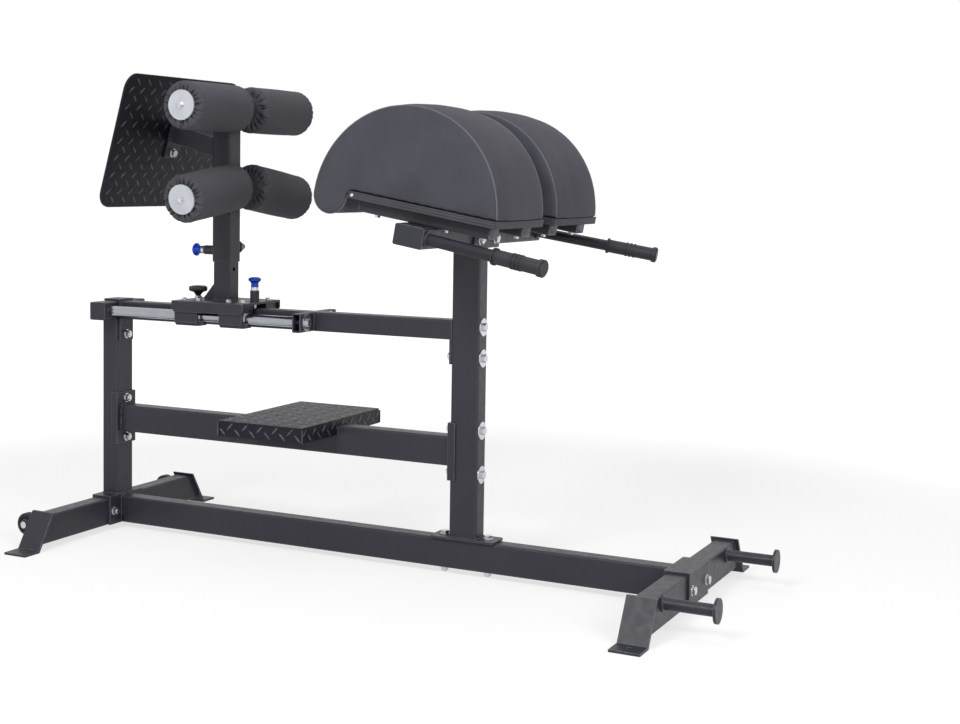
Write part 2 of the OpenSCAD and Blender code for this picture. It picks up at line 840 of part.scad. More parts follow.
// Outline of a pad seen from the side: a half round back and a rolled nose under its rear end
pad_seat = board_top + soft_gap;
pad_arc_steps = 24;
nose_steps = 7;
nose_mid = pad_rear + pad_nose_r;
nose_top = rail_top - 3;
arc_rise = board_top + pad_rise - nose_top;
pad_outline = concat(
    [[pad_front - 2, pad_seat]],
    [for (i = [1 : pad_arc_steps]) let (a = 180 * i / pad_arc_steps)
        [-pad_back + pad_len / 2 * cos(a), nose_top + arc_rise * sin(a)]],
    [for (i = [1 : nose_steps]) let (a = 180 + 170 * i / nose_steps)
        [nose_mid + pad_nose_r * cos(a), nose_top + pad_nose_r * sin(a)]],
    [[board_rear - 3, pad_seat]]
);
pad_centre = [-pad_back, pad_seat];
pad_side_centre = [pad_rear + 2 * pad_nose_r - 3, pad_seat + 18];

// Across the width, the outline swells from the seams to the crown and draws in at both sides
seam_in = 9;
crown_scale = 1 + pad_crown / (pad_rise + 10);
pad_half_stations = [
    [3, 0.978], [5, 0.994], [seam_in, 1.008], [seam_in + 3, 1.003], [seam_in + 16, 1.012],
    [pad_w * 0.22, 1 + (crown_scale - 1) * 0.75]
];
pad_stations = concat(
    pad_half_stations,
    [[pad_w / 2, crown_scale]],
    [for (i = [len(pad_half_stations) - 1 : -1 : 0])
        [pad_w - pad_half_stations[i][0], pad_half_stations[i][1]]]
);

module thigh_pad() {
    n = len(pad_outline);
    m = len(pad_stations);
    last = n * (m - 1);
    points = concat(
        [for (s = pad_stations) for (p = pad_outline) [
            pad_centre[0] + (p[0] - pad_centre[0]) * s[1],
            s[0],
            pad_centre[1] + (p[1] - pad_centre[1]) * s[1]
        ]],
        [[pad_side_centre[0], 0, pad_side_centre[1]], [pad_side_centre[0], pad_w, pad_side_centre[1]]]
    );
    sides = [for (k = [0 : m - 2]) for (i = [0 : n - 1]) let (j = (i + 1) % n)
        each [
            [k * n + j, k * n + i, (k + 1) * n + j],
            [k * n + i, (k + 1) * n + i, (k + 1) * n + j]
        ]];
    ends = [for (i = [0 : n - 1]) let (j = (i + 1) % n)
        each [[i, j, n * m], [last + j, last + i, n * m + 1]]];
    translate([0, pad_gap / 2, 0]) polyhedron(points, concat(sides, ends));
}

module thigh_pad_left() {
    color(fabric_grey) tilted() thigh_pad();
}

module thigh_pad_right() {
    color(fabric_grey) tilted() mirror([0, 1, 0]) thigh_pad();
}

// The frame of the left handle: +X runs out along the handle
module at_handle() {
    tilted() translate([tube_h / 2, handle_spread / 2, 0]) rotate([0, 0, handle_splay]) children();
}

handle_wall = 2.5;
grip_t = (grip_d - handle_d) / 2;

module handle() {
    difference() {
        union() {
            at_handle() rod_x(handle_d, -handle_d, handle_len - 4);
            at_handle() rod_x(handle_d + 8, -handle_d, 5);
        }
        at_handle() rod_x(handle_d - 2 * handle_wall, -2 * handle_d, handle_len);
        tilted() box(-tube_h, tube_h / 2, 0, handle_beam_len, -tube_w, tube_w);
    }
}

module handle_left() {
    color(black) handle();
}

module handle_right() {
    color(black) mirror([0, 1, 0]) handle();
}

// A rubber sleeve with a flared mouth, three ribs and a closed, flared end
module handle_grip() {
    bore = handle_d / 2 + run_clear;
    r = grip_d / 2;
    flare = 3;
    start = handle_len - grip_len;
    at_handle() difference() {
        union() {
            rod_x(2 * r, start, handle_len);
            rod_x(2 * r + 2 * flare, start, start + 5);
            for (i = [0 : 2]) rod_x(2 * r + 3, start + grip_len * 0.38 + i * 10, start + grip_len * 0.38 + i * 10 + 4);
            rod_x(2 * r + 2 * flare, handle_len - 12, handle_len - 2);
        }
        rod_x(2 * bore, start - 1, handle_len - 4);
    }
}

module handle_grip_left() {
    color(dark) handle_grip();
}

module handle_grip_right() {
    color(dark) mirror([0, 1, 0]) handle_grip();
}

module at_blocks() {
    for (s = [-1, 1]) for (i = [-1, 1])
        translate([x_post + i * block_pitch / 2, s * rod_y, 0]) children();
}

module carriage_plate() {
    half_x = carriage_len / 2;
    half_y = carriage_w / 2;
    low = deck_top - carriage_flange;
    color(black) difference() {
        union() {
            box(x_post - half_x, x_post + half_x, 1 - half_y, half_y - 1, deck_bottom, deck_top);
            both_sides() translate([x_post, half_y, 0]) rotate([90, 0, 0])
                linear_extrude(carriage_flange_t) polygon([
                    [-half_x + carriage_chamfer, low],
                    [half_x - carriage_chamfer, low],
                    [half_x, low + carriage_chamfer],
                    [half_x, deck_top - carriage_chamfer / 2],
                    [half_x - carriage_chamfer / 2, deck_top],
                    [-half_x + carriage_chamfer / 2, deck_top],
                    [-half_x, deck_top - carriage_chamfer / 2],
                    [-half_x, low + carriage_chamfer]
                ]);
        }
        at_blocks() for (i = [-1, 1])
            translate([i * block_screw_x, 0, 0]) rod_z(small_hole_d, deck_bottom - 1, deck_top + 1);
        translate([x_post + carriage_pin_x, 0, 0]) rod_z(pin_d + 2 * run_clear, deck_bottom - 1, deck_top + 1);
        translate([x_post + brake_x, 0, 0]) rod_z(brake_stud_d + 2 * run_clear, deck_bottom - 1, deck_top + 1);
    }
}

module bearing_blocks() {
    half = block_w / 2;
    color(black) at_blocks() difference() {
        rotate([90, 0, 90]) linear_extrude(block_len, center = true) polygon([
            [-half, deck_bottom],
            [half, deck_bottom],
            [half, block_bottom + block_chamfer],
            [half - block_chamfer, block_bottom],
            [-half + block_chamfer, block_bottom],
            [-half, block_bottom + block_chamfer]
        ]);
        translate([0, 0, upper_beam_z]) rod_x(bush_d + 2 * run_clear, -block_len, block_len);
        for (i = [-1, 1])
            translate([i * block_screw_x, 0, 0])
                rod_z(small_hole_d, deck_bottom - block_screw_len - 1, deck_bottom + 1);
    }
}

module linear_bushes() {
    half = block_len / 2 - 1;
    color(steel) at_blocks() translate([0, 0, upper_beam_z]) difference() {
        rod_x(bush_d, -half, half);
        rod_x(rod_d + 2 * run_clear, -block_len, block_len);
    }
}

module block_screws() {
    color(zinc) at_blocks() for (i = [-1, 1])
        translate([i * block_screw_x, 0, deck_top]) screw(plate_t + block_screw_len);
}

module inner_post() {
    half = inner_post_w / 2;
    color(black) translate([x_post, 0, 0]) difference() {
        union() {
            tube_z(deck_top, inner_post_top, inner_post_w, inner_post_w, inner_post_t, 4);
            rotate([90, 0, 0]) linear_extrude(gusset_t, center = true) polygon([
                [-half + 1, deck_top],
                [-half + 1, deck_top + gusset_h],
                [-half - 5, deck_top + gusset_h],
                [-half - gusset_len, deck_top + 6],
                [-half - gusset_len, deck_top]
            ]);
        }
        for (i = [first_post_hole : last_post_hole])
            translate([0, 0, post_pin_z + i * hole_pitch]) rod_x(pin_d + 2, -outer_post_w, outer_post_w);
    }
}

// A pull pin along -Z: its housing stands on z = 0, and its collar and knob ride above
module pin_housing() {
    difference() {
        rod_z(housing_d, 0, housing_len);
        rod_z(pin_d + 2 * run_clear, -1, housing_len + 1);
    }
}

knob_foot = housing_len + collar_len;
knob_bore = 0.55 * pull_knob_len;

module pull_pin(depth) {
    rod_z(pin_d, -depth, knob_foot + knob_bore);
    rod_z(housing_d - 3, housing_len + soft_gap, knob_foot);
}

module pull_knob() {
    r = pull_knob_d / 2;
    h = pull_knob_len;
    translate([0, 0, knob_foot]) rotate_extrude() difference() {
        polygon([
            [0, 0],
            [r * 0.6, 0],
            [r * 0.58, h * 0.4],
            [r * 0.78, h * 0.56],
            [r, h * 0.66],
            [r, h * 0.8],
            [r * 0.86, h * 0.92],
            [r * 0.5, h],
            [0, h]
        ]);
        square([pin_d / 2, knob_bore]);
    }
}

module at_carriage_pin() {
    translate([x_post + carriage_pin_x, 0, deck_top]) children();
}

module carriage_pin_housing() {
    color(dark) at_carriage_pin() pin_housing();
}

module carriage_pin() {
    color(steel) at_carriage_pin() pull_pin(plate_t + deck_gap + pin_bite);
}

module carriage_pin_knob() {
    color(blue) at_carriage_pin() pull_knob();
}

module star_knob(d, h) {
    rod_z(d * 0.62, 0, h);
    for (i = [0 : 4]) rotate([0, 0, 72 * i]) {
        translate([d / 2 - d * 0.15, 0, 0]) rod_z(d * 0.3, 0, h);
        translate([0, -d * 0.15, 0]) cube([d / 2 - d * 0.15, d * 0.3, h]);
    }
}

brake_nut_h = 8;
brake_neck = 12;

module brake_nut() {
    color(zinc) translate([x_post + brake_x, 0, deck_top]) difference() {
        cylinder(d = 1.9 * brake_stud_d, h = brake_nut_h, $fn = 6);
        rod_z(brake_stud_d + 2 * run_clear, -1, brake_nut_h + 1);
    }
}

module brake_knob() {
    z0 = brake_nut_h + 0.3;
    color(dark) translate([x_post + brake_x, 0, deck_top]) {
        rod_z(brake_stud_d, -plate_t - deck_gap + 0.3, z0 + 4);
        translate([0, 0, z0]) cylinder(d1 = brake_knob_d * 0.4, d2 = brake_knob_d * 0.62, h = brake_neck + 0.5);
        translate([0, 0, z0 + brake_neck]) star_knob(brake_knob_d, 15);
    }
}

// The frame of the foot plate: +X is its face's outward normal, +Z runs up the slope
module at_tread() {
    translate([x_post - arm_reach, 0, arm_z]) rotate([0, tread_lean, 0]) children();
}

module axle_boss(z) {
    translate([x_post, 0, z]) {
        box(outer_post_w / 2 - 1, axle_front, -boss_half + 4, boss_half - 4, -boss_d / 2, boss_d / 2);
        translate([axle_front, 0, 0]) rod_y(boss_d, -boss_half, boss_half);
    }
}

module lower_boss() {
    h = boss_d + 8;
    translate([x_post, 0, lower_axle_z])
        box(outer_post_w / 2 - 1, axle_front + boss_d / 2, 4 - boss_half, boss_half - 4, -h / 2, h / 2);
}

module outer_post() {
    half = outer_post_w / 2;
    bore = outer_post_w - 2 * outer_post_t;
    color(black) difference() {
        union() {
            translate([x_post, 0, outer_post_bottom])
                linear_extrude(outer_post_top - outer_post_bottom) round_rect(outer_post_w, outer_post_w, tube_r);
            difference() {
                at_tread() difference() {
                    union() {
                        box(0, arm_reach, -arm_w / 2, arm_w / 2, -arm_h / 2, arm_h / 2);
                        box(0, plate_t, -flange_w / 2, flange_w / 2, -flange_h / 2, flange_h / 2);
                    }
                    box(plate_t, arm_reach + 1, -arm_w / 2 + 3, arm_w / 2 - 3, -arm_h / 2 + 3, arm_h / 2 - 3);
                    for (s = [-1, 1]) translate([0, 0, s * arm_bolt]) rod_x(hole_d, -1, plate_t + 1);
                }
                box(x_post - half + 1, x_post + 4 * half, -half, half, 0, 2 * arm_z);
            }
            axle_boss(upper_axle_z);
            lower_boss();
            translate([x_post - half, 0, post_pin_z]) rod_x(housing_d + 7, -pin_boss_len, 1);
            translate([x_post, half - 1, clamp_z]) rod_y(26, 0, 11);
        }
        translate([x_post, 0, outer_post_bottom - 1])
            linear_extrude(outer_post_top - outer_post_bottom + 2) round_rect(bore, bore, tube_r - outer_post_t);
        translate([x_post + axle_front, 0, upper_axle_z]) rod_y(axle_d + 2 * run_clear, -boss_half - 1, boss_half + 1);
        at_lower_axles() rod_y(axle_d + 2 * run_clear, -axle_d, boss_half + 8);
        translate([x_post - half, 0, post_pin_z]) rod_x(pin_d + 2 * run_clear, -pin_boss_len - 1, outer_post_t + 1);
        translate([x_post, half, clamp_z]) rod_y(brake_stud_d + 2 * run_clear, -outer_post_t - 1, 12);
    }
}

// Each lower axle's own frame: +Y runs out along the axle
module at_lower_axles() {
    both_sides() translate([x_post + axle_front, 0, lower_axle_z]) rotate([-droop, 0, 0]) children();
}

module post_cap() {
    bore = outer_post_w - 2 * outer_post_t;
    color(dark) translate([x_post, 0, outer_post_top]) {
        linear_extrude(4) round_rect(outer_post_w, outer_post_w, tube_r);
        translate([0, 0, -14]) linear_extrude(14.5)
            round_rect(bore - 2 * post_clear, bore - 2 * post_clear, tube_r - outer_post_t);
    }
}

module foot_plate() {
    color(black) at_tread() difference() {
        translate([-tread_t, 0, -tread_drop]) rotate([90, 0, 90]) linear_extrude(tread_t)
            round_rect(tread_w, tread_h, tread_r);
        for (s = [-1, 1]) translate([0, 0, s * arm_bolt]) rod_x(hole_d, -tread_t - 1, 1);
    }
}

module foot_plate_bolts() {
    color(zinc) at_tread() for (s = [-1, 1])
        translate([plate_t, 0, s * arm_bolt]) along_x() bolt(plate_t + tread_t);
}

module at_post_pin() {
    translate([x_post - outer_post_w / 2 - pin_boss_len, 0, post_pin_z]) along_x(-1) children();
}

module post_pin_housing() {
    color(dark) at_post_pin() pin_housing();
}

module post_pin() {
    color(steel) at_post_pin()
        pull_pin(pin_boss_len + outer_post_t + post_clear + inner_post_t + pin_bite);
}

module post_pin_knob() {
    color(blue) at_post_pin() pull_knob();
}

module clamp_knob() {
    boss = 10;
    stud = outer_post_t;
    color(dark) translate([x_post, outer_post_w / 2 + boss, clamp_z]) rotate([-90, 0, 0]) {
        rod_z(brake_stud_d, -boss - stud, 6);
        translate([0, 0, 0.3]) cylinder(d1 = clamp_knob_d * 0.45, d2 = clamp_knob_d * 0.6, h = 26);
        translate([0, 0, 26]) star_knob(clamp_knob_d, 16);
    }
}

end_screw_len = 24;

module upper_axle() {
    color(steel) translate([x_post + axle_front, 0, upper_axle_z]) difference() {
        rod_y(axle_d, -roller_end, roller_end);
        both_sides() rod_y(small_bolt_d + 2 * run_clear, roller_end - end_screw_len - 1, roller_end + 1);
    }
}

module lower_axle() {
    color(steel) difference() {
        at_lower_axles() rod_y(axle_d, -axle_d / 2 * tan(droop) - 0.5, roller_end);
        at_lower_axles() rod_y(small_bolt_d + 2 * run_clear, roller_end - end_screw_len - 1, roller_end + 1);
    }
}

// The frame of each roller's axle, two upper and two lower: +Y runs outwards
module at_roller(upper, side) {
    scale_y(side) translate([x_post + axle_front, 0, upper ? upper_axle_z : lower_axle_z])
        rotate([upper ? 0 : -droop, 0, 0]) children();
}

module at_rollers() {
    for (upper = [true, false]) for (side = [-1, 1]) at_roller(upper, side) children();
}

module roller_end_discs() {
    color(disc_grey) at_rollers() difference() {
        union() {
            rod_y(disc_d, roller_end + soft_gap, roller_end + disc_t);
            rod_y(axle_d, roller_end, roller_end + disc_t);
        }
        rod_y(small_hole_d, roller_end - 1, roller_end + disc_t + 1);
    }
}

module roller_end_bolts() {
    color(zinc) at_rollers() translate([0, roller_end + disc_t, 0]) rotate([-90, 0, 0])
        screw(end_screw_len + disc_t, small_bolt_d, 20);
}

// A padded roller: round shoulders and a slight crown
module roller(start) {
    r = roller_d / 2 - 1;
    shoulder = 16;
    neck = disc_d * 0.35;
    steps = 7;
    inner = axle_d / 2 + run_clear;
    rotate([-90, 0, 0]) rotate_extrude($fn = 72) polygon(concat(
        [[inner, start], [neck, start]],
        [for (i = [0 : steps]) let (a = 90 * i / steps)
            [r - shoulder + shoulder * sin(a), start + shoulder * (1 - cos(a))]],
        [[r + 1, (start + roller_end) / 2]],
        [for (i = [0 : steps]) let (a = 90 * i / steps)
            [r - shoulder + shoulder * cos(a), roller_end - shoulder * (1 - sin(a))]],
        [[neck, roller_end], [inner, roller_end]]
    ));
}

module roller_upper_left() {
    color(fabric_grey) at_roller(true, 1) roller(roller_start);
}

module roller_upper_right() {
    color(fabric_grey) at_roller(true, -1) roller(roller_start);
}

module roller_lower_left() {
    color(fabric_grey) at_roller(false, 1) roller(low_roller_start);
}

module roller_lower_right() {
    color(fabric_grey) at_roller(false, -1) roller(low_roller_start);
}

base_beam();
rear_cross_base();
front_cross_base();
storage_pegs();
base_bolts();
wheel_axles();
transport_wheel_left();
transport_wheel_right();
rear_upright();
main_upright();
upright_foot_bolts();
lower_beam();
lower_beam_bolts();
upper_beam();
upper_beam_bolts();
rear_rod_tube();
front_rod_tubes();
guide_rods();
rod_bolts();
step_plate();
handle_beam();
handle_beam_caps();
saddle_bolts();
pad_rails();
pad_bolts();
pad_board_left();
pad_board_right();
thigh_pad_left();
thigh_pad_right();
handle_left();
handle_right();
handle_grip_left();
handle_grip_right();
carriage_plate();
bearing_blocks();
linear_bushes();
block_screws();
inner_post();
carriage_pin_housing();
carriage_pin();
carriage_pin_knob();
brake_nut();
brake_knob();
outer_post();
post_cap();
foot_plate();
foot_plate_bolts();
post_pin_housing();
post_pin();
post_pin_knob();
clamp_knob();
upper_axle();
lower_axle();
roller_end_discs();
roller_end_bolts();
roller_upper_left();
roller_upper_right();
roller_lower_left();
roller_lower_right();
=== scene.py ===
"""Looks of a glute ham developer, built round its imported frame.

Sizes are in millimetres until a mesh is made.
"""

import math

import bmesh
import bpy
import numpy as np
from mathutils import Matrix, Vector


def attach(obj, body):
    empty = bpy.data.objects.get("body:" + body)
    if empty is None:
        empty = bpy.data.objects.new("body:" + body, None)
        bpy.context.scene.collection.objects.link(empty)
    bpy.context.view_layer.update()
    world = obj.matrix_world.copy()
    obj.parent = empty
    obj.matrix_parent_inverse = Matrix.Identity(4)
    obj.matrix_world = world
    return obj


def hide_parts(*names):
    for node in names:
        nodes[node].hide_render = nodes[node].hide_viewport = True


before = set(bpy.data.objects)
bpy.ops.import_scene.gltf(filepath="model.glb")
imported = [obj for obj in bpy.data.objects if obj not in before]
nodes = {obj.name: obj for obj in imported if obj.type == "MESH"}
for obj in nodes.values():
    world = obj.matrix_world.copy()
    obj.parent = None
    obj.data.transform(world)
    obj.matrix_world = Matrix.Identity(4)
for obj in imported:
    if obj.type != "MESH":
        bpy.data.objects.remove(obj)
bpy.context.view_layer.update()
scene = bpy.context.scene
MM = 0.001
SIDES = ((1, "left"), (-1, "right"))


# Camera, at the photograph's own view
CAMERA_PLACE = (1.845, -3.564, 0.994)
CAMERA_TURN = 29.02
CAMERA_FALL = 3.67
CAMERA_ROLL = 0.54
CAMERA_LENS = 58.737
CAMERA_SENSOR = 36.0
CAMERA_SHIFT = (0.1434, -0.0865)


def make_camera():
    turn = math.radians(CAMERA_TURN)
    fall = math.radians(CAMERA_FALL)
    roll = math.radians(CAMERA_ROLL)
    ahead = Vector((-math.sin(turn) * math.cos(fall), math.cos(turn) * math.cos(fall), -math.sin(fall)))
    right = Vector((math.cos(turn), math.sin(turn), 0.0))
    down = ahead.cross(right)
    rolled_right = right * math.cos(roll) - down * math.sin(roll)
    rolled_down = right * math.sin(roll) + down * math.cos(roll)
    lens = bpy.data.cameras.new("camera")
    lens.lens = CAMERA_LENS
    lens.sensor_width = CAMERA_SENSOR
    lens.shift_x, lens.shift_y = CAMERA_SHIFT
    camera = bpy.data.objects.new("camera", lens)
    camera.matrix_world = Matrix.LocRotScale(
        Vector(CAMERA_PLACE),
        Matrix((rolled_right, -rolled_down, -ahead)).transposed(),
        None,
    )
    scene.collection.objects.link(camera)
    scene.camera = camera


make_camera()


# Mesh helpers
class Pile:
    """Points and faces of one piece, gathered from several forms."""

    def __init__(self):
        self.points = []
        self.faces = []

    def add(self, points, faces):
        first = len(self.points)
        self.points.extend(np.asarray(points, float).reshape(-1, 3).tolist())
        self.faces.extend([tuple(first + i for i in face) for face in faces])

    def grid(self, points, round_rows=False, round_columns=False, cap=False):
        """A sheet of quads through a table of points, closed on itself where it is round."""
        rows, columns = points.shape[:2]
        last_row = rows if round_rows else rows - 1
        last_column = columns if round_columns else columns - 1
        faces = []
        for i in range(last_row):
            here = i * columns
            below = (i + 1) % rows * columns
            for j in range(last_column):
                beside = (j + 1) % columns
                faces.append((here + j, here + beside, below + beside, below + j))
        if cap:
            faces.append(tuple(range(columns - 1, -1, -1)))
            faces.append(tuple((rows - 1) * columns + j for j in range(columns)))
        self.add(points.reshape(-1, 3), faces)

    def piece(self, name, finish, body):
        """The gathered forms as one smooth mesh that rides on a body."""
        mesh = bpy.data.meshes.new(name)
        mesh.from_pydata([tuple(c * MM for c in p) for p in self.points], [], self.faces)
        mesh.validate()
        made = bpy.data.objects.new(name, mesh)
        scene.collection.objects.link(made)
        shape = bmesh.new()
        shape.from_mesh(mesh)
        bmesh.ops.recalc_face_normals(shape, faces=shape.faces)
        for face in shape.faces:
            face.smooth = True
        shape.to_mesh(mesh)
        shape.free()
        mesh.materials.append(finish)
        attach(made, body)
        return made


def unit(v):
    v = np.asarray(v, float)
    return v / np.linalg.norm(v)


def smooth_step(value, low, high):
    t = np.clip((value - low) / (high - low), 0.0, 1.0)
    return t * t * (3 - 2 * t)


def across(direction):
    """Two directions square to one direction and to each other."""
    direction = unit(direction)
    helper = np.array([0.0, 0.0, 1.0]) if abs(direction[2]) < 0.9 else np.array([1.0, 0.0, 0.0])
    side = unit(np.cross(direction, helper))
    return side, np.cross(direction, side)


def tube_points(path, radii, sides, closed=False):
    """Rings of points round a path, one ring for each of its points."""
    path = np.asarray(path, float)
    count = len(path)
    radii = np.broadcast_to(np.asarray(radii, float), (count,))
    angles = np.arange(sides) * 2 * math.pi / sides
    rings = np.zeros((count, sides, 3))
    side = None
    for i in range(count):
        before = path[i - 1] if closed or i > 0 else path[i]
        after = path[(i + 1) % count] if closed or i < count - 1 else path[i]
        ahead = unit(after - before)
        if side is None:
            side = across(ahead)[0]
        side = unit(side - ahead * np.dot(side, ahead))
        other = np.cross(ahead, side)
        ring = np.outer(np.cos(angles), side) + np.outer(np.sin(angles), other)
        rings[i] = path[i] + radii[i] * ring
    return rings


def turned(pile, outline, centre, axis, sides, radius_at=None):
    """A form turned on an axis, from pairs of height and radius, which radius_at may vary round it."""
    side, other = across(axis)
    axis = unit(axis)
    angles = np.arange(sides) * 2 * math.pi / sides
    rows = []
    for height, radius in outline:
        radii = np.full(sides, radius) if radius_at is None else radius_at(radius, angles)
        ring = np.outer(np.cos(angles) * radii, side) + np.outer(np.sin(angles) * radii, other)
        rows.append(np.asarray(centre, float) + axis * height + ring)
    pile.grid(np.array(rows), round_columns=True, cap=True)


def even_path(points, pitch, closed=False):
    """The same line with points a set distance apart."""
    points = np.asarray(points, float)
    if closed:
        points = np.vstack([points, points[:1]])
    steps = np.linalg.norm(np.diff(points, axis=0), axis=1)
    along = np.concatenate([[0.0], np.cumsum(steps)])
    count = max(3, int(round(along[-1] / pitch)))
    places = np.linspace(0.0, along[-1], count + 1)
    if closed:
        places = places[:-1]
    return np.stack([np.interp(places, along, points[:, k]) for k in range(3)], axis=1)


# Materials: the range of most noise, that of normals near an edge, and the Mix node's colour sockets
NOISE_RANGE = (0.3, 0.7)
EDGE_RANGE = (0.998, 0.93)
MIX_COLOURS = (6, 7)
MIX_RESULT = 2

# Woven cloth: its sheen, how much finer its crossing threads are, and shares of threads, fuzz and weave
CLOTH_SHEEN = 0.04
FINE_THREADS = 1.9
THREAD_SHARE = 0.4
FUZZ_SHARE = 1.2
WEAVE_SHADE = 0.65


def srgb(red, green, blue):
    """A colour as 0 to 255 on the screen, in Blender's linear numbers."""
    def linear(value):
        value = value / 255.0
        return value / 12.92 if value <= 0.04045 else ((value + 0.055) / 1.055) ** 2.4
    return (linear(red), linear(green), linear(blue), 1.0)


def feed(tree, value, socket):
    """Joins a socket to another node's result, or sets it to a number or a colour."""
    if isinstance(value, bpy.types.NodeSocket):
        tree.links.new(value, socket)
    else:
        socket.default_value = value


def maths(tree, operation, *values):
    """The result of a maths node."""
    made = tree.nodes.new("ShaderNodeMath")
    made.operation = operation
    for value, socket in zip(values, made.inputs):
        feed(tree, value, socket)
    return made.outputs["Value"]


class Finish:
    """A material with its nodes."""

    def __init__(self, name, roughness, metallic=0.0):
        self.material = bpy.data.materials.new(name)
        self.material.use_nodes = True
        self.tree = self.material.node_tree
        self.shader = self.tree.nodes["Principled BSDF"]
        self.shader.inputs["Roughness"].default_value = roughness
        self.shader.inputs["Metallic"].default_value = metallic
        self.place = self.node("ShaderNodeTexCoord").outputs["Object"]

    def node(self, kind, **settings):
        made = self.tree.nodes.new(kind)
        for name, value in settings.items():
            setattr(made, name, value)
        return made

    def join(self, source, target):
        self.tree.links.new(source, target)

    def noise(self, scale, detail, stretch=None):
        made = self.node("ShaderNodeTexNoise")
        made.inputs["Scale"].default_value = scale
        made.inputs["Detail"].default_value = detail
        place = self.place
        if stretch is not None:
            mapping = self.node("ShaderNodeMapping")
            mapping.inputs["Scale"].default_value = stretch
            self.join(place, mapping.inputs["Vector"])
            place = mapping.outputs["Vector"]
        self.join(place, made.inputs["Vector"])
        return made.outputs["Fac"]

    def waves(self, turns):
        """Even waves along one direction of the object."""
        along = self.node("ShaderNodeVectorMath", operation="DOT_PRODUCT")
        along.inputs[1].default_value = turns
        self.join(self.place, along.inputs[0])
        return maths(self.tree, "SINE", along.outputs["Value"])

    def spread(self, source, from_range=NOISE_RANGE, to_range=(0.0, 1.0)):
        """A value carried over from one range to another."""
        made = self.node("ShaderNodeMapRange")
        made.inputs["From Min"].default_value = from_range[0]
        made.inputs["From Max"].default_value = from_range[1]
        made.inputs["To Min"].default_value = to_range[0]
        made.inputs["To Max"].default_value = to_range[1]
        self.join(source, made.inputs["Value"])
        return made.outputs["Result"]

    def mixed(self, factor, first, second):
        """A colour between two."""
        made = self.node("ShaderNodeMix", data_type="RGBA")
        self.join(factor, made.inputs["Factor"])
        for value, place in zip((first, second), MIX_COLOURS):
            feed(self.tree, value, made.inputs[place])
        return made.outputs[MIX_RESULT]

    def patchy(self, scale, detail, dark, pale):
        """Two tones in soft patches."""
        return self.mixed(self.spread(self.noise(scale, detail)), dark, pale)

    def specular(self, level):
        self.shader.inputs["Specular IOR Level"].default_value = level

    def colour(self, source):
        self.join(source, self.shader.inputs["Base Color"])

    def rough(self, source, low, high):
        self.join(self.spread(source, to_range=(low, high)), self.shader.inputs["Roughness"])

    def bump(self, source, distance, strength, after=None):
        made = self.node("ShaderNodeBump")
        made.inputs["Distance"].default_value = distance
        made.inputs["Strength"].default_value = strength
        self.join(source, made.inputs["Height"])
        if after is not None:
            self.join(after, made.inputs["Normal"])
        self.join(made.outputs["Normal"], self.shader.inputs["Normal"])

    def soft_edges(self, radius):
        """The normal that a rounded edge would have."""
        rounded = self.node("ShaderNodeBevel", samples=4)
        rounded.inputs["Radius"].default_value = radius
        return rounded.outputs["Normal"]

    def near_edge(self, rounded):
        """How near an edge is, from how far its rounded normal leans."""
        flat = self.node("ShaderNodeNewGeometry")
        dot = self.node("ShaderNodeVectorMath", operation="DOT_PRODUCT")
        self.join(rounded, dot.inputs[0])
        self.join(flat.outputs["True Normal"], dot.inputs[1])
        return self.spread(dot.outputs["Value"], EDGE_RANGE)


def powder_coat(name, dark, pale):
    """Painted steel, with a painted highlight along its edges that is stronger in random blotches."""
    made = Finish(name, roughness=0.41)
    made.specular(0.30)
    base = made.mixed(made.spread(made.noise(5.0, 3.0), (0.35, 0.65)), dark, pale)
    rounded = made.soft_edges(0.0024)
    blotch_noise = made.noise(60.0, 4.0)
    share = made.spread(blotch_noise, (0.35, 0.7), (0.45, 1.0))
    # painted highlight: near the edges the coat is mixed towards the pale colour on the next line, more
    # where the blotch noise is high
    edge_highlight = maths(made.tree, "MULTIPLY", made.near_edge(rounded), share)
    made.colour(made.mixed(edge_highlight, base, srgb(128, 130, 146)))
    made.rough(blotch_noise, 0.36, 0.47)
    made.bump(made.noise(1100.0, 3.0), distance=0.00012, strength=0.7, after=rounded)
    return made.material


def tread_coat():
    """The sunk ground of the tread, darker than the frame."""
    made = Finish("tread_coat", roughness=0.45)
    made.specular(0.2)
    made.colour(made.patchy(7.0, 4.0, srgb(17, 18, 26), srgb(25, 26, 34)))
    made.rough(made.noise(90.0, 3.0), 0.38, 0.55)
    made.bump(made.noise(900.0, 3.0), distance=0.00007, strength=0.6, after=made.soft_edges(0.0012))
    return made.material


def tread_bar_coat():
    """The raised bars of the tread, paler than its ground in random blotches."""
    made = Finish("tread_bar_coat", roughness=0.36)
    blotch_noise = made.noise(120.0, 4.0)
    made.colour(made.mixed(made.spread(blotch_noise, (0.35, 0.7)), srgb(42, 43, 50), srgb(84, 86, 98)))
    made.rough(blotch_noise, 0.30, 0.46)
    made.bump(made.noise(900.0, 3.0), distance=0.0001, strength=0.6)
    return made.material


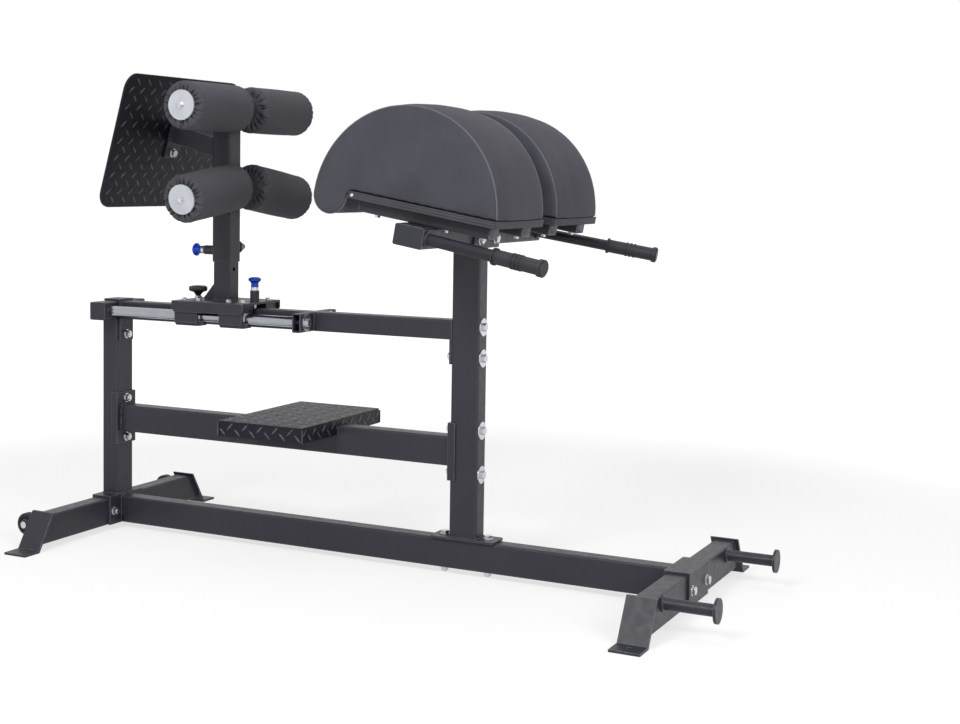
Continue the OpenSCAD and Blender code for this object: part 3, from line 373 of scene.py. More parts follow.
def twill(name, dark, pale, pitch, depth):
    """Woven cloth: diagonal ribs on every side, crossed by finer threads."""
    made = Finish(name, roughness=0.78)
    made.specular(0.22)
    made.shader.inputs["Sheen Weight"].default_value = CLOTH_SHEEN
    made.shader.inputs["Sheen Roughness"].default_value = 0.45
    turns = 2 * math.pi / (pitch * MM) / math.sqrt(2)
    fine = turns * FINE_THREADS
    ribs = made.waves((turns, turns, turns))
    threads = made.waves((fine, -fine, -fine))
    weave = maths(made.tree, "MULTIPLY_ADD", threads, THREAD_SHARE, ribs)
    fuzz = made.noise(2200.0, 2.0)
    height = maths(made.tree, "MULTIPLY_ADD", fuzz, FUZZ_SHARE, weave)
    woven = made.spread(weave, (-1.0 - THREAD_SHARE, 1.0 + THREAD_SHARE))
    patches = made.spread(made.noise(9.0, 4.0), to_range=(0.0, 1.0 - WEAVE_SHADE))
    made.colour(made.mixed(maths(made.tree, "MULTIPLY_ADD", woven, WEAVE_SHADE, patches), dark, pale))
    made.rough(fuzz, 0.72, 0.88)
    made.bump(height, distance=depth * MM, strength=0.5)
    return made.material


def steel(name, tint, low, high, scale, stretch=None, scratch=0.00002):
    """Bare metal between two roughnesses, with grain or scratches."""
    made = Finish(name, roughness=low, metallic=1.0)
    pale = tuple(min(1.0, c * 1.12) for c in tint[:3]) + (1.0,)
    made.colour(made.patchy(30.0, 3.0, tint, pale))
    grain = made.noise(scale, 3.0, stretch)
    made.rough(grain, low, high)
    made.bump(grain, distance=scratch, strength=0.5, after=made.soft_edges(0.0006))
    return made.material


def plastic(name, dark, pale, low, high, grain_scale, grain_depth):
    """Moulded plastic or rubber between two tones and two roughnesses, with a fine grain."""
    made = Finish(name, roughness=low)
    made.specular(0.35)
    made.colour(made.patchy(25.0, 3.0, dark, pale))
    grain = made.noise(grain_scale, 3.0)
    made.rough(grain, low, high)
    made.bump(grain, distance=grain_depth * MM, strength=0.6, after=made.soft_edges(0.0008))
    return made.material


coat = powder_coat("powder_coat", srgb(42, 42, 50), srgb(46, 46, 54))
# painted shade: the handles get the frame's powder coat in darker tones, for the shade they lie in under
# the pads
handle_painted_shade_coat = powder_coat("handle_painted_shade_coat", srgb(26, 27, 34), srgb(30, 31, 38))
tread = tread_coat()
tread_bars = tread_bar_coat()
pad_cloth = twill("pad_cloth", srgb(54, 54, 61), srgb(79, 79, 87), 2.7, 0.25)
roller_cloth = twill("roller_cloth", srgb(62, 61, 67), srgb(80, 79, 86), 1.6, 0.16)
# painted highlight: the piping cloth is paler than the pad cloth, standing in for the light caught along
# the cord
piping_cloth = twill("piping_cloth", srgb(86, 87, 97), srgb(112, 113, 126), 1.2, 0.1)
stitch_thread = twill("stitch_thread", srgb(100, 101, 110), srgb(124, 125, 134), 0.8, 0.08)
board_trim = plastic("board_trim", srgb(50, 50, 56), srgb(60, 60, 67), 0.55, 0.7, 700.0, 0.08)
zinc = steel("zinc", srgb(196, 198, 202), 0.22, 0.36, 300.0)
bright = steel("bright_steel", srgb(214, 216, 220), 0.10, 0.18, 400.0)
chrome = steel("rod_chrome", srgb(158, 160, 168), 0.16, 0.26, 500.0,
               stretch=(0.05, 1.0, 1.0), scratch=0.000008)
grip_rubber = plastic("grip_rubber", srgb(30, 30, 36), srgb(42, 42, 49), 0.42, 0.6, 1300.0, 0.08)
wheel_rubber = plastic("wheel_rubber", srgb(26, 26, 28), srgb(38, 38, 40), 0.5, 0.66, 1100.0, 0.1)
blue_plastic = plastic("blue_plastic", srgb(8, 52, 160), srgb(12, 66, 184), 0.26, 0.38, 900.0, 0.05)
black_plastic = plastic("black_plastic", srgb(22, 22, 24), srgb(32, 32, 34), 0.34, 0.5, 900.0, 0.06)
# painted highlight: the weld beads are paler than the frame coat, standing in for the light lines along the
# welds
weld_coat = plastic("weld_coat", srgb(46, 47, 55), srgb(66, 68, 78), 0.38, 0.5, 900.0, 0.1)
disc_grey = plastic("disc_grey", srgb(180, 184, 189), srgb(192, 195, 201), 0.36, 0.48, 700.0, 0.04)

SLOT_FINISH = {
    "black_steel": coat,
    "zinc_steel": zinc,
    "bright_steel": bright,
    "padding": pad_cloth,
    "board": board_trim,
    "grip_rubber": grip_rubber,
    "wheel_rubber": wheel_rubber,
    "blue_knob": blue_plastic,
    "black_plastic": black_plastic,
    "grey_disc": disc_grey,
}
NODE_FINISH = {
    "guide_rods": chrome,
    "handle_beam_caps": coat,
    "handle_left": handle_painted_shade_coat,
    "handle_right": handle_painted_shade_coat,
    "foot_plate": tread,
    "step_plate": tread,
}


# The first row with a word of the node's name gives its slot
SLOT_WORDS = (
    ("zinc_steel", ("bolt", "screw", "wheel_axles", "brake_nut")),
    ("bright_steel", ("guide_rods", "axle", "linear_bushes")),
    ("wheel_rubber", ("transport_wheel",)),
    ("padding", ("thigh_pad", "roller_upper", "roller_lower")),
    ("board", ("pad_board",)),
    ("grip_rubber", ("handle_grip",)),
    ("black_plastic", ("brake_knob", "clamp_knob", "post_cap", "handle_beam_caps")),
    ("blue_knob", ("pin_knob",)),
    ("black_steel", ("pin_housing",)),
    ("zinc_steel", ("carriage_pin", "post_pin")),
    ("grey_disc", ("roller_end_discs",)),
)


def slot_of(name):
    for slot_name, words in SLOT_WORDS:
        if any(word in name for word in words):
            return slot_name
    return "black_steel"


def dress_nodes():
    """Every solid kept from the frame gets its finish."""
    for name, shown in nodes.items():
        finish = NODE_FINISH.get(name, SLOT_FINISH[slot_of(name)])
        shown.data.materials.clear()
        shown.data.materials.append(finish)


dress_nodes()


# Thigh pads, in a tilted frame of their own: u along them, y across them and w up
TILT = math.radians(10.0)
TILT_X = 237.9
TILT_Z = 863.5
PAD_BACK = 46.0
PAD_LENGTH = 478.0
PAD_SEAT = 71.3
PAD_RISE = 244.0
PAD_INNER = 36.0
PAD_WIDTH = 293.0
PAD_OUTER = PAD_INNER + PAD_WIDTH
PAD_ARC_STEPS = 90
NOSE_RADIUS = 44.0
NOSE_TOP = 50.0
NOSE_END = -192.0
NOSE_TURN = (184.0, 350.0)
NOSE_STEPS = 36
SEAM_IN = 9.0
SEAMS = (SEAM_IN, PAD_WIDTH - SEAM_IN)

# Distance from the pad's nearer side, and its outline's scale there
PAD_STATIONS = (
    (3.0, 0.978), (5.0, 0.994), (9.0, 1.008), (12.0, 1.004), (25.0, 1.012), (64.0, 1.029), (146.5, 1.0386),
)
PAD_START = 0.8
PAD_EDGE_ROWS = (PAD_START + 1.0, 3.5, 5.0, 7.0, 9.0, 11.0, 13.0, 18.0, 25.0)
PAD_MIDDLE_IN = 36.0
PAD_MIDDLE_ROWS = 28

# The cover is held this near its seat and from here forward, and its seams are drawn to the pad's heart
HELD_RISE = 5.0
HELD_REAR = -185.0
PAD_HEART = 70.0

# These three are in metres
SEAM_HELD = 0.005
PAD_VOXEL = 0.0055
PAD_CAP = 0.0045
CLOTH_FRAMES = 20


def on_tilt(u, y, w):
    """A point of the tilted pads and handles, in the part's frame."""
    x = TILT_X + u * math.cos(TILT) + w * math.sin(TILT)
    z = TILT_Z - u * math.sin(TILT) + w * math.cos(TILT)
    return np.stack(np.broadcast_arrays(x, y, z), axis=-1)


def pad_outline():
    """The pad from the side: a half round back and a rolled nose under its rear end."""
    first = math.degrees(math.asin((PAD_SEAT - NOSE_TOP) / PAD_RISE))
    arc = np.radians(np.linspace(first, 180.0, PAD_ARC_STEPS))
    back = np.stack([-PAD_BACK + PAD_LENGTH / 2 * np.cos(arc), NOSE_TOP + PAD_RISE * np.sin(arc)], axis=1)
    roll = np.radians(np.linspace(*NOSE_TURN, NOSE_STEPS))
    nose_u = -PAD_BACK - PAD_LENGTH / 2 + NOSE_RADIUS
    nose = np.stack([nose_u + NOSE_RADIUS * np.cos(roll), NOSE_TOP + NOSE_RADIUS * np.sin(roll)], axis=1)
    return np.vstack([back, nose, [[NOSE_END, PAD_SEAT]]])


def pad_scale(y_in):
    places = [s[0] for s in PAD_STATIONS]
    scales = [s[1] for s in PAD_STATIONS]
    near = np.minimum(y_in, PAD_WIDTH - y_in)
    return np.interp(near, places, scales)


def pad_ring(y_in, shrink=0.0):
    """The left pad's outline a set distance in from its inner side, as points in the part's frame."""
    outline = pad_outline()
    centre = np.array([-PAD_BACK, PAD_SEAT])
    scaled = centre + (outline - centre) * pad_scale(y_in)
    if shrink:
        edge = np.roll(scaled, -1, axis=0) - np.roll(scaled, 1, axis=0)
        inward = np.stack([-edge[:, 1], edge[:, 0]], axis=1)
        inward /= np.linalg.norm(inward, axis=1, keepdims=True)
        scaled = scaled + inward * shrink
    return on_tilt(scaled[:, 0], PAD_INNER + y_in, scaled[:, 1])


def puffed_pad():
    """The left pad's shell, blown up like foam in its cover between the seams, which stay put."""
    edge = np.array(PAD_EDGE_ROWS)
    middle = np.linspace(PAD_MIDDLE_IN, PAD_WIDTH - PAD_MIDDLE_IN, PAD_MIDDLE_ROWS)
    stations = np.concatenate([edge, middle, PAD_WIDTH - edge[::-1]])
    shell = Pile()
    rows = [pad_ring(y_in, PAD_START) for y_in in stations]
    shell.grid(np.array(rows), round_columns=True, cap=True)
    pad = shell.piece("thigh_pad_cover_left", pad_cloth, "frame")
    remesh = pad.modifiers.new("even", "REMESH")
    remesh.mode = "VOXEL"
    remesh.voxel_size = PAD_VOXEL
    relax = pad.modifiers.new("relax", "SMOOTH")
    relax.factor = 0.5
    relax.iterations = 2
    keep_modified(pad)
    group = pin_cover(pad)
    blow_up(pad, group, PAD_CAP)
    split = pad.modifiers.new("finer", "SUBSURF")
    split.levels = 1
    keep_modified(pad)
    return pad


def pin_cover(pad):
    """Holds the cover at its seams and on its board, and gives the name of the held group."""
    places = vertex_places(pad)
    pinned = pad.vertex_groups.new(name="sewn")
    for y_in in SEAMS:
        near = distance_to_line(places, pad_ring(y_in) * MM)
        held = np.nonzero(near < SEAM_HELD)[0]
        pinned.add(held.tolist(), 1.0, "REPLACE")
    seat = places @ np.array([math.sin(TILT), 0.0, math.cos(TILT)])
    seat_level = (TILT_X * math.sin(TILT) + TILT_Z * math.cos(TILT) + PAD_SEAT + HELD_RISE) * MM
    rear = on_tilt(HELD_REAR, 0.0, PAD_SEAT)[0] * MM
    over_board = np.nonzero((seat < seat_level) & (places[:, 0] > rear))[0]
    pinned.add(over_board.tolist(), 1.0, "REPLACE")
    return pinned.name


def vertex_places(shown):
    places = np.zeros(len(shown.data.vertices) * 3)
    shown.data.vertices.foreach_get("co", places)
    return places.reshape(-1, 3)


def set_places(shown, places):
    shown.data.vertices.foreach_set("co", places.astype(np.float32).ravel())
    shown.data.update()


def keep_modified(shown):
    """Applies a piece's modifiers."""
    bpy.context.view_layer.update()
    ready = shown.evaluated_get(bpy.context.evaluated_depsgraph_get())
    mesh = bpy.data.meshes.new_from_object(ready)
    old = shown.data
    shown.modifiers.clear()
    shown.data = mesh
    mesh.name = old.name
    bpy.data.meshes.remove(old)
    mesh.polygons.foreach_set("use_smooth", [True] * len(mesh.polygons))


def distance_to_line(places, line):
    """How far each point is from a closed line of points."""
    best = np.full(len(places), 1e9)
    ends = np.roll(line, -1, axis=0)
    for start, end in zip(line, ends):
        along = end - start
        length = float(along @ along)
        if length < 1e-12:
            continue
        t = np.clip((places - start) @ along / length, 0.0, 1.0)
        gap = np.linalg.norm(places - start - t[:, None] * along, axis=1)
        best = np.minimum(best, gap)
    return best


def blow_up(shown, group, most):
    """Cloth with air pressure in it, run for a few frames, and no point moves further than the cap."""
    rest = vertex_places(shown)
    cloth = shown.modifiers.new("cloth", "CLOTH")
    cloth.settings.vertex_group_mass = group
    cloth.settings.use_pressure = True
    cloth.settings.uniform_pressure_force = 4.0
    cloth.settings.quality = 5
    cloth.settings.tension_stiffness = 15.0
    cloth.settings.compression_stiffness = 15.0
    cloth.settings.bending_stiffness = 2.0
    cloth.settings.effector_weights.gravity = 0.0
    cloth.collision_settings.use_collision = False
    cloth.point_cache.frame_start = 1
    cloth.point_cache.frame_end = CLOTH_FRAMES
    for number in range(1, CLOTH_FRAMES + 1):
        scene.frame_set(number)
    keep_modified(shown)
    scene.frame_set(1)
    moved = vertex_places(shown) - rest
    length = np.linalg.norm(moved, axis=1, keepdims=True)
    share = most * np.tanh(length / most) / np.maximum(length, 1e-9)
    set_places(shown, rest + moved * share)


def mirrored(shown, name, body):
    """The same mesh on the other side of the middle."""
    mesh = shown.data.copy()
    mesh.name = name
    made = bpy.data.objects.new(name, mesh)
    scene.collection.objects.link(made)
    places = vertex_places(made)
    places[:, 1] *= -1.0
    set_places(made, places)
    mesh.flip_normals()
    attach(made, body)
    return made


PIPING_RADIUS = 1.9
PIPING_PITCH = 3.0
PIPING_LIFT = 0.5
GROOVE_WIDTH = 5.0
GROOVE_DEPTH = 1.3
STITCH_PITCH = 7.0
STITCH_LENGTH = 4.2
STITCH_LIFT = 0.25
STITCH_SHAPE = ((0.0, 0.15), (0.2, 0.45), (0.5, 0.55), (0.8, 0.45), (1.0, 0.15))
SEAM_TO_STITCH = 5.0
LAY_ROUNDS = 3


def press_seams(pad):
    """Draws the cover in along both seams, where the piping is sewn."""
    places = vertex_places(pad)
    middle = np.array(on_tilt(-PAD_BACK, PAD_INNER + PAD_WIDTH / 2, PAD_SEAT + PAD_HEART)) * MM
    for y_in in SEAMS:
        near = distance_to_line(places, pad_ring(y_in) * MM) / MM
        pull = GROOVE_DEPTH * np.exp(-(near / GROOVE_WIDTH) ** 2) * MM
        inward = middle - places
        inward /= np.linalg.norm(inward, axis=1, keepdims=True)
        places = places + inward * pull[:, None]
    set_places(pad, places)


def laid_on(pad, line, lift):
    """A line of points dropped on the pad's surface, and lifted off it by a set distance."""
    bpy.context.view_layer.update()
    laid = []
    for point in line:
        _, place, normal, _ = pad.closest_point_on_mesh(Vector(point * MM))
        laid.append(np.array(place + normal * lift * MM) / MM)
    laid = np.array(laid)
    for _ in range(LAY_ROUNDS):
        laid[1:-1] = (laid[:-2] + 2 * laid[1:-1] + laid[2:]) / 4
    return laid


def sewn_pieces(pad):
    """The cord along both seams of the left pad, round its nose too, and the stitches beside it."""
    cords = Pile()
    stitches = Pile()
    radii = [radius for _, radius in STITCH_SHAPE]
    for y_in, step in zip(SEAMS, (SEAM_TO_STITCH, -SEAM_TO_STITCH)):
        line = laid_on(pad, even_path(pad_ring(y_in), PIPING_PITCH), PIPING_LIFT)
        cords.grid(tube_points(line, PIPING_RADIUS, 10), round_columns=True, cap=True)
        dotted = laid_on(pad, even_path(pad_ring(y_in + step), STITCH_PITCH), STITCH_LIFT)
        for start, end in zip(dotted[:-1], dotted[1:]):
            ahead = unit(end - start)
            path = [start + ahead * share * STITCH_LENGTH for share, _ in STITCH_SHAPE]
            stitches.grid(tube_points(path, radii, 6), round_columns=True, cap=True)
    cord = cords.piece("pad_piping_left", piping_cloth, "frame")
    stitch = stitches.piece("pad_stitches_left", stitch_thread, "frame")
    mirrored(cord, "pad_piping_right", "frame")
    mirrored(stitch, "pad_stitches_right", "frame")


def make_pads():
    left = puffed_pad()
    press_seams(left)
    right = mirrored(left, "thigh_pad_cover_right", "frame")
    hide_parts("thigh_pad_left")
    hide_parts("thigh_pad_right")
    sewn_pieces(left)


make_pads()


# Ribbed strip round each pad board, from pairs of height and how far it stands out
BOARD_LOW = 53.0
BOARD_HIGH = 71.0
BOARD_REAR = -189.0
BOARD_FRONT = 193.0
BOARD_CORNER = 5.0
STRIP_RIBS = (
    (0.2, 0.2), (0.6, 1.2), (4.8, 1.4), (5.6, 0.5), (6.4, 1.4),
    (11.6, 1.4), (12.4, 0.5), (13.2, 1.4), (17.2, 1.2), (17.8, 0.2),
)
STRIP_SUNK = 1.5
STRIP_LAP = 0.2
STRIP_SCREW = ((-0.5, 4.2), (1.6, 4.2), (2.3, 3.6), (2.5, 2.0), (1.5, 1.6), (1.4, 0.2))
STRIP_SCREW_IN = 12.0


def strip_ring(side, out, height):
    """One line round a board, a set distance out from the centres of its rounded corners."""
    front = BOARD_FRONT - BOARD_CORNER
    rear = BOARD_REAR + BOARD_CORNER
    outer = PAD_OUTER - BOARD_CORNER
    inner = PAD_INNER + BOARD_CORNER
    ring = []
    for u, y, first in ((front, outer, 0), (rear, outer, 90), (rear, inner, 180), (front, inner, 270)):
        for turn in range(first, first + 91, 15):
            a = math.radians(turn)
            ring.append(on_tilt(u + out * math.cos(a), side * (y + out * math.sin(a)), height))
    return ring


def board_strips():
    """The moulded edging round each board, with two grooves along it and a screw near its rear end."""
    sunk = BOARD_CORNER - STRIP_SUNK
    for side, word in SIDES:
        rows = [strip_ring(side, sunk, BOARD_LOW + STRIP_LAP)]
        for height, proud in STRIP_RIBS:
            rows.append(strip_ring(side, BOARD_CORNER + proud, BOARD_LOW + height))
        rows.append(strip_ring(side, sunk, BOARD_HIGH - STRIP_LAP))
        strip = Pile()
        strip.grid(np.array(rows), round_rows=True, round_columns=True)
        strip.piece("board_strip_" + word, board_trim, "frame")
        screws = Pile()
        for y, out in ((PAD_OUTER, 1), (PAD_INNER, -1)):
            place = on_tilt(BOARD_REAR + STRIP_SCREW_IN, side * y, (BOARD_LOW + BOARD_HIGH) / 2)
            turned(screws, STRIP_SCREW, place, (0.0, side * out, 0.0), 20)
        screws.piece("board_strip_screws_" + word, zinc, "frame")


board_strips()


# Plugs in the open ends of the pad rails
RAIL_Y = (86.5, 278.5)
RAIL_FRONT = 173.0
RAIL_REAR = -167.0
RAIL_WIDE = 50.0
RAIL_LOW = 25.0
RAIL_HIGH = 53.0
PLUG_IN = 3.0
PLUG_OUT = 2.2
PLUG_GAP = 0.4
PLUG_CORNER = 3.5
PLUG_EDGE = ((0.0, 1.2), (0.35, 0.35), (1.2, 0.0))


def plug(pile, low, high):
    """A tilted block with rounded edges along the rail, slightly drawn in at both ends."""
    depth = high[0] - low[0]
    stations = list(PLUG_EDGE) + [(depth - a, draw) for a, draw in reversed(PLUG_EDGE)]
    rows = []
    for a, draw in stations:
        reach = PLUG_CORNER - draw
        ring = []
        for t in np.radians(np.arange(0, 360, 15)):
            side_y = high[1] - PLUG_CORNER if math.cos(t) > 0 else low[1] + PLUG_CORNER
            side_z = high[2] - PLUG_CORNER if math.sin(t) > 0 else low[2] + PLUG_CORNER
            ring.append(on_tilt(low[0] + a, side_y + reach * math.cos(t), side_z + reach * math.sin(t)))
        rows.append(ring)
    pile.grid(np.array(rows), round_columns=True, cap=True)


def rail_plugs():
    half = RAIL_WIDE / 2 - PLUG_GAP
    front = (RAIL_FRONT - PLUG_IN, RAIL_FRONT + PLUG_OUT)
    rear = (RAIL_REAR - PLUG_OUT, RAIL_REAR + PLUG_IN)
    for side, word in SIDES:
        plugs = Pile()
        for y in RAIL_Y:
            for start, end in (front, rear):
                low = (start, side * y - half, RAIL_LOW + PLUG_GAP)
                high = (end, side * y + half, RAIL_HIGH - PLUG_GAP)
                plug(plugs, low, high)
        plugs.piece("rail_plugs_" + word, coat, "frame")


rail_plugs()


# Foam rollers
ROLLER_RADIUS = 62.0
ROLLER_CROWN = 0.8
ROLLER_SIDES = 384
ROLLER_ROWS = 16
ROLLER_X = -444.5
UPPER_Z = 1176.0
UPPER_START = 30.0
UPPER_LENGTH = 252.0
UPPER_SEED = 11
LOWER_Z = 974.0
LOWER_START = 34.0
LOWER_LENGTH = 248.0
LOWER_SEED = 31
DROOP = math.radians(7.5)
DISC_RADIUS = 38.5
COVER_IN = 0.4
NECK = ((1.8, 27.0), (0.9, 30.0), (COVER_IN, 33.5), (COVER_IN, 37.0), (COVER_IN, 40.0), (COVER_IN, 43.5))
SHOULDER = 15.0
SHOULDER_STEPS = 16
STRAIGHT = (2.0, 4.5, 8.0, 12.0, 17.0)
GATHERED = (30.0, 37.0)

# Pleats, whose shifts and reaches are shares of their pitch and their full reach
PLEATS = 22
PLEAT_DEPTH = 6.6
PLEAT_PUFF = 1.5
PUFF_WIDTH = 4.5
PUFF_FADE = (0.5, 1.2)
PLEAT_WIDTH = 4.2
PLEAT_END_WIDTH = 1.0
PLEAT_REACH = 34.0
PLEAT_FULL = 0.15
PLEAT_SHIFT = 0.30
PLEAT_DEPTHS = (0.6, 1.1)
PLEAT_REACHES = (0.5, 1.0)
PLEAT_SLANT = 0.12


def end_outline():
    """From the neck behind the disc, over the rounded shoulder, to the start of the straight cover."""
    outline = list(NECK)
    for a in np.radians(np.linspace(180.0, 90.0, SHOULDER_STEPS)):
        depth = COVER_IN + SHOULDER * (1 + math.cos(a))
        outline.append((depth, ROLLER_RADIUS - SHOULDER + SHOULDER * math.sin(a)))
    for step in STRAIGHT:
        outline.append((SHOULDER + COVER_IN + step, ROLLER_RADIUS))
    return np.array(outline)


def outward(outline):
    """The outline's own outward direction at each of its points."""
    ahead = np.gradient(outline, axis=0)
    ahead /= np.linalg.norm(ahead, axis=1, keepdims=True)
    return np.stack([-ahead[:, 1], ahead[:, 0]], axis=1)


def gathers(angles, along, radii, seed):
    """How far gathered cloth falls in round a roller's end: wedges that narrow away from the disc."""
    rng = np.random.default_rng(seed)
    step = 2 * math.pi / PLEATS
    folds = np.arange(PLEATS) * step + rng.uniform(-PLEAT_SHIFT, PLEAT_SHIFT, PLEATS) * step
    depths = rng.uniform(*PLEAT_DEPTHS, PLEATS)
    reaches = rng.uniform(*PLEAT_REACHES, PLEATS) * PLEAT_REACH
    slants = rng.uniform(-PLEAT_SLANT, PLEAT_SLANT, PLEATS)
    rows = []
    for place, radius in zip(along, radii):
        lean = slants * place / PLEAT_REACH
        turn = (angles[:, None] - (folds + lean)[None, :] + math.pi) % (2 * math.pi) - math.pi
        arc = np.abs(turn) * radius
        left = 1 - smooth_step(place, PLEAT_FULL * reaches, reaches)
        narrowed = 1 - np.clip(place / reaches, 0.0, 1.0)
        width = PLEAT_END_WIDTH + (PLEAT_WIDTH - PLEAT_END_WIDTH) * narrowed
        crease = (depths * left * np.exp(-(arc / width) ** 2)).max(axis=1)
        fading = 1 - smooth_step(place, PUFF_FADE[0] * PLEAT_REACH, PUFF_FADE[1] * PLEAT_REACH)
        swell = smooth_step(arc.min(axis=1), 0.0, PUFF_WIDTH) * fading
        rows.append(PLEAT_DEPTH * crease - PLEAT_PUFF * swell)
    return np.array(rows)


def roller(node, start, direction, length, seed):
    """A foam roller whose cloth cover is gathered in pleats round the disc at both ends."""
    direction = unit(direction)
    side, other = across(direction)
    angles = np.arange(ROLLER_SIDES) * 2 * math.pi / ROLLER_SIDES
    round_way = np.outer(np.cos(angles), side) + np.outer(np.sin(angles), other)
    ends = end_outline()
    lean = outward(ends)
    steps = np.linalg.norm(np.diff(ends, axis=0), axis=1)
    along = np.concatenate([[0.0], np.cumsum(steps)])
    rising = len(NECK) + 1
    along = np.maximum(along - np.interp(DISC_RADIUS, ends[:rising, 1], along[:rising]), 0.0)
    halves = []
    for at_far in (False, True):
        inward = gathers(angles, along, ends[:, 1], seed + at_far)
        inward *= smooth_step(ends[:, 1], *GATHERED)[:, None]
        depths = ends[:, :1] - inward * lean[:, :1]
        radii = ends[:, 1:] - inward * lean[:, 1:]
        places = length - depths if at_far else depths
        halves.append(start + places[..., None] * direction + radii[..., None] * round_way)
    reach = ends[-1, 0]
    middle = []
    for s in np.linspace(reach, length - reach, ROLLER_ROWS)[1:-1]:
        swell = ROLLER_CROWN * math.sin(math.pi * (s - reach) / (length - 2 * reach))
        middle.append(start + s * direction + (ROLLER_RADIUS + swell) * round_way)
    shell = Pile()
    shell.grid(np.concatenate([halves[0], middle, halves[1][::-1]]), round_columns=True, cap=True)
    made = shell.piece("cover_" + node, roller_cloth, node)
    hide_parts(node)


def make_rollers():
    for side, word in SIDES:
        start = np.array([ROLLER_X, side * UPPER_START, UPPER_Z])
        roller("roller_upper_" + word, start, (0, side, 0), UPPER_LENGTH, UPPER_SEED + side)
        lean = np.array([0.0, side * math.cos(DROOP), -math.sin(DROOP)])
        start = np.array([ROLLER_X, 0.0, LOWER_Z]) + lean * LOWER_START
        roller("roller_lower_" + word, start, lean, LOWER_LENGTH, LOWER_SEED + side)


make_rollers()


# Raised tread on the foot plate and the step
BAR_LENGTH = 26.0
BAR_WIDTH = 5.0
BAR_HEIGHT = 1.1
BAR_POINT = 2.6
BAR_TIP = 0.15
BAR_EDGE = 0.02
BAR_SUNK = 0.1
BAR_REACH = BAR_LENGTH * 0.36
TREAD_ACROSS = 48.0
TREAD_ALONG = 46.0
STEP_TREAD_ACROSS = 49.0
STEP_TREAD_ALONG = 45.0
PLATE_ORIGIN = np.array([-662.5, 0.0, 1116.0])
PLATE_LEAN = math.radians(15.8)
PLATE_LOW = -212.0
PLATE_HIGH = 152.0
PLATE_HALF = 269.0
PLATE_CORNER = 44.0
PLATE_MARGIN = 1.0
FLANGE_HALF_WIDTH = 31.0
FLANGE_HALF_HEIGHT = 72.5


def tread_bar(pile, centre, along, beside, up):
    """One raised bar of tread, pointed at both ends."""
    rows = []
    for t in np.linspace(-1.0, 1.0, 9):
        half = BAR_WIDTH / 2 * (1 - abs(t) ** BAR_POINT) + BAR_TIP
        height = BAR_HEIGHT * (1 - t ** 4) + BAR_EDGE
        ring = []
        for a in np.radians([0.0, 30.0, 60.0, 90.0, 120.0, 150.0, 180.0]):
            ring.append(centre + along * t * BAR_LENGTH / 2 + beside * half * math.cos(a)
                        + up * (height * math.sin(a) - BAR_SUNK))
        rows.append(ring)
    pile.grid(np.array(rows))


def tread_places(half_a, half_b, pitch_a, pitch_b, middle_b, wanted):
    """Centres and slants of the bars on a plane: two slants, each halfway between the other's rows."""
    found = []
    for slant, shift in ((1, 0.0), (-1, 0.5)):
        for i in range(-math.ceil(half_a / pitch_a) - 1, math.ceil(half_a / pitch_a) + 1):
            for j in range(-math.ceil(half_b / pitch_b) - 1, math.ceil(half_b / pitch_b) + 1):
                a = (i + shift) * pitch_a
                b = middle_b + (j + shift) * pitch_b
                if wanted(a, b):
                    found.append((a, b, slant))
    return found


def on_foot_plate(a, b):
    """Whether a bar has room at this place: inside the plate's rounded outline and clear of the flange."""
    room = BAR_REACH + PLATE_MARGIN
    if abs(a) > PLATE_HALF - room or not PLATE_LOW + room < b < PLATE_HIGH - room:
        return False
    corner_a = abs(a) - (PLATE_HALF - PLATE_CORNER)
    corner_b = max(b - (PLATE_HIGH - PLATE_CORNER), PLATE_LOW + PLATE_CORNER - b)
    if corner_a > 0 and corner_b > 0 and math.hypot(corner_a, corner_b) > PLATE_CORNER - room:
        return False
    return abs(a) > FLANGE_HALF_WIDTH + room or abs(b) > FLANGE_HALF_HEIGHT + room


def foot_plate_tread():
    bars = Pile()
    up = np.array([math.cos(PLATE_LEAN), 0.0, -math.sin(PLATE_LEAN)])
    slope = np.array([math.sin(PLATE_LEAN), 0.0, math.cos(PLATE_LEAN)])
    level = np.array([0.0, 1.0, 0.0])
    half_b = (PLATE_HIGH - PLATE_LOW) / 2
    middle_b = (PLATE_HIGH + PLATE_LOW) / 2
    for a, b, slant in tread_places(PLATE_HALF, half_b, TREAD_ACROSS, TREAD_ALONG, middle_b, on_foot_plate):
        centre = PLATE_ORIGIN + level * a + slope * b
        along = unit(level * slant + slope)
        tread_bar(bars, centre, along, np.cross(up, along), up)
    bars.piece("foot_plate_tread", tread_bars, "foot_post")


STEP_X = -253.5
STEP_HALF_LENGTH = 126.0
STEP_HALF_WIDTH = 209.0
STEP_TOP = 367.5
STEP_EDGE_LOW = 327.5
STEP_MARGIN = 3.0
UPPER_ROW = STEP_TOP - 13.5
LOWER_ROW = STEP_EDGE_LOW + 12.0


def on_step(a, b):
    """Whether a bar has room at this place of the step, or along one of its edges."""
    room = BAR_REACH + STEP_MARGIN
    return abs(a) < STEP_HALF_WIDTH - room and abs(b) < STEP_HALF_LENGTH - room


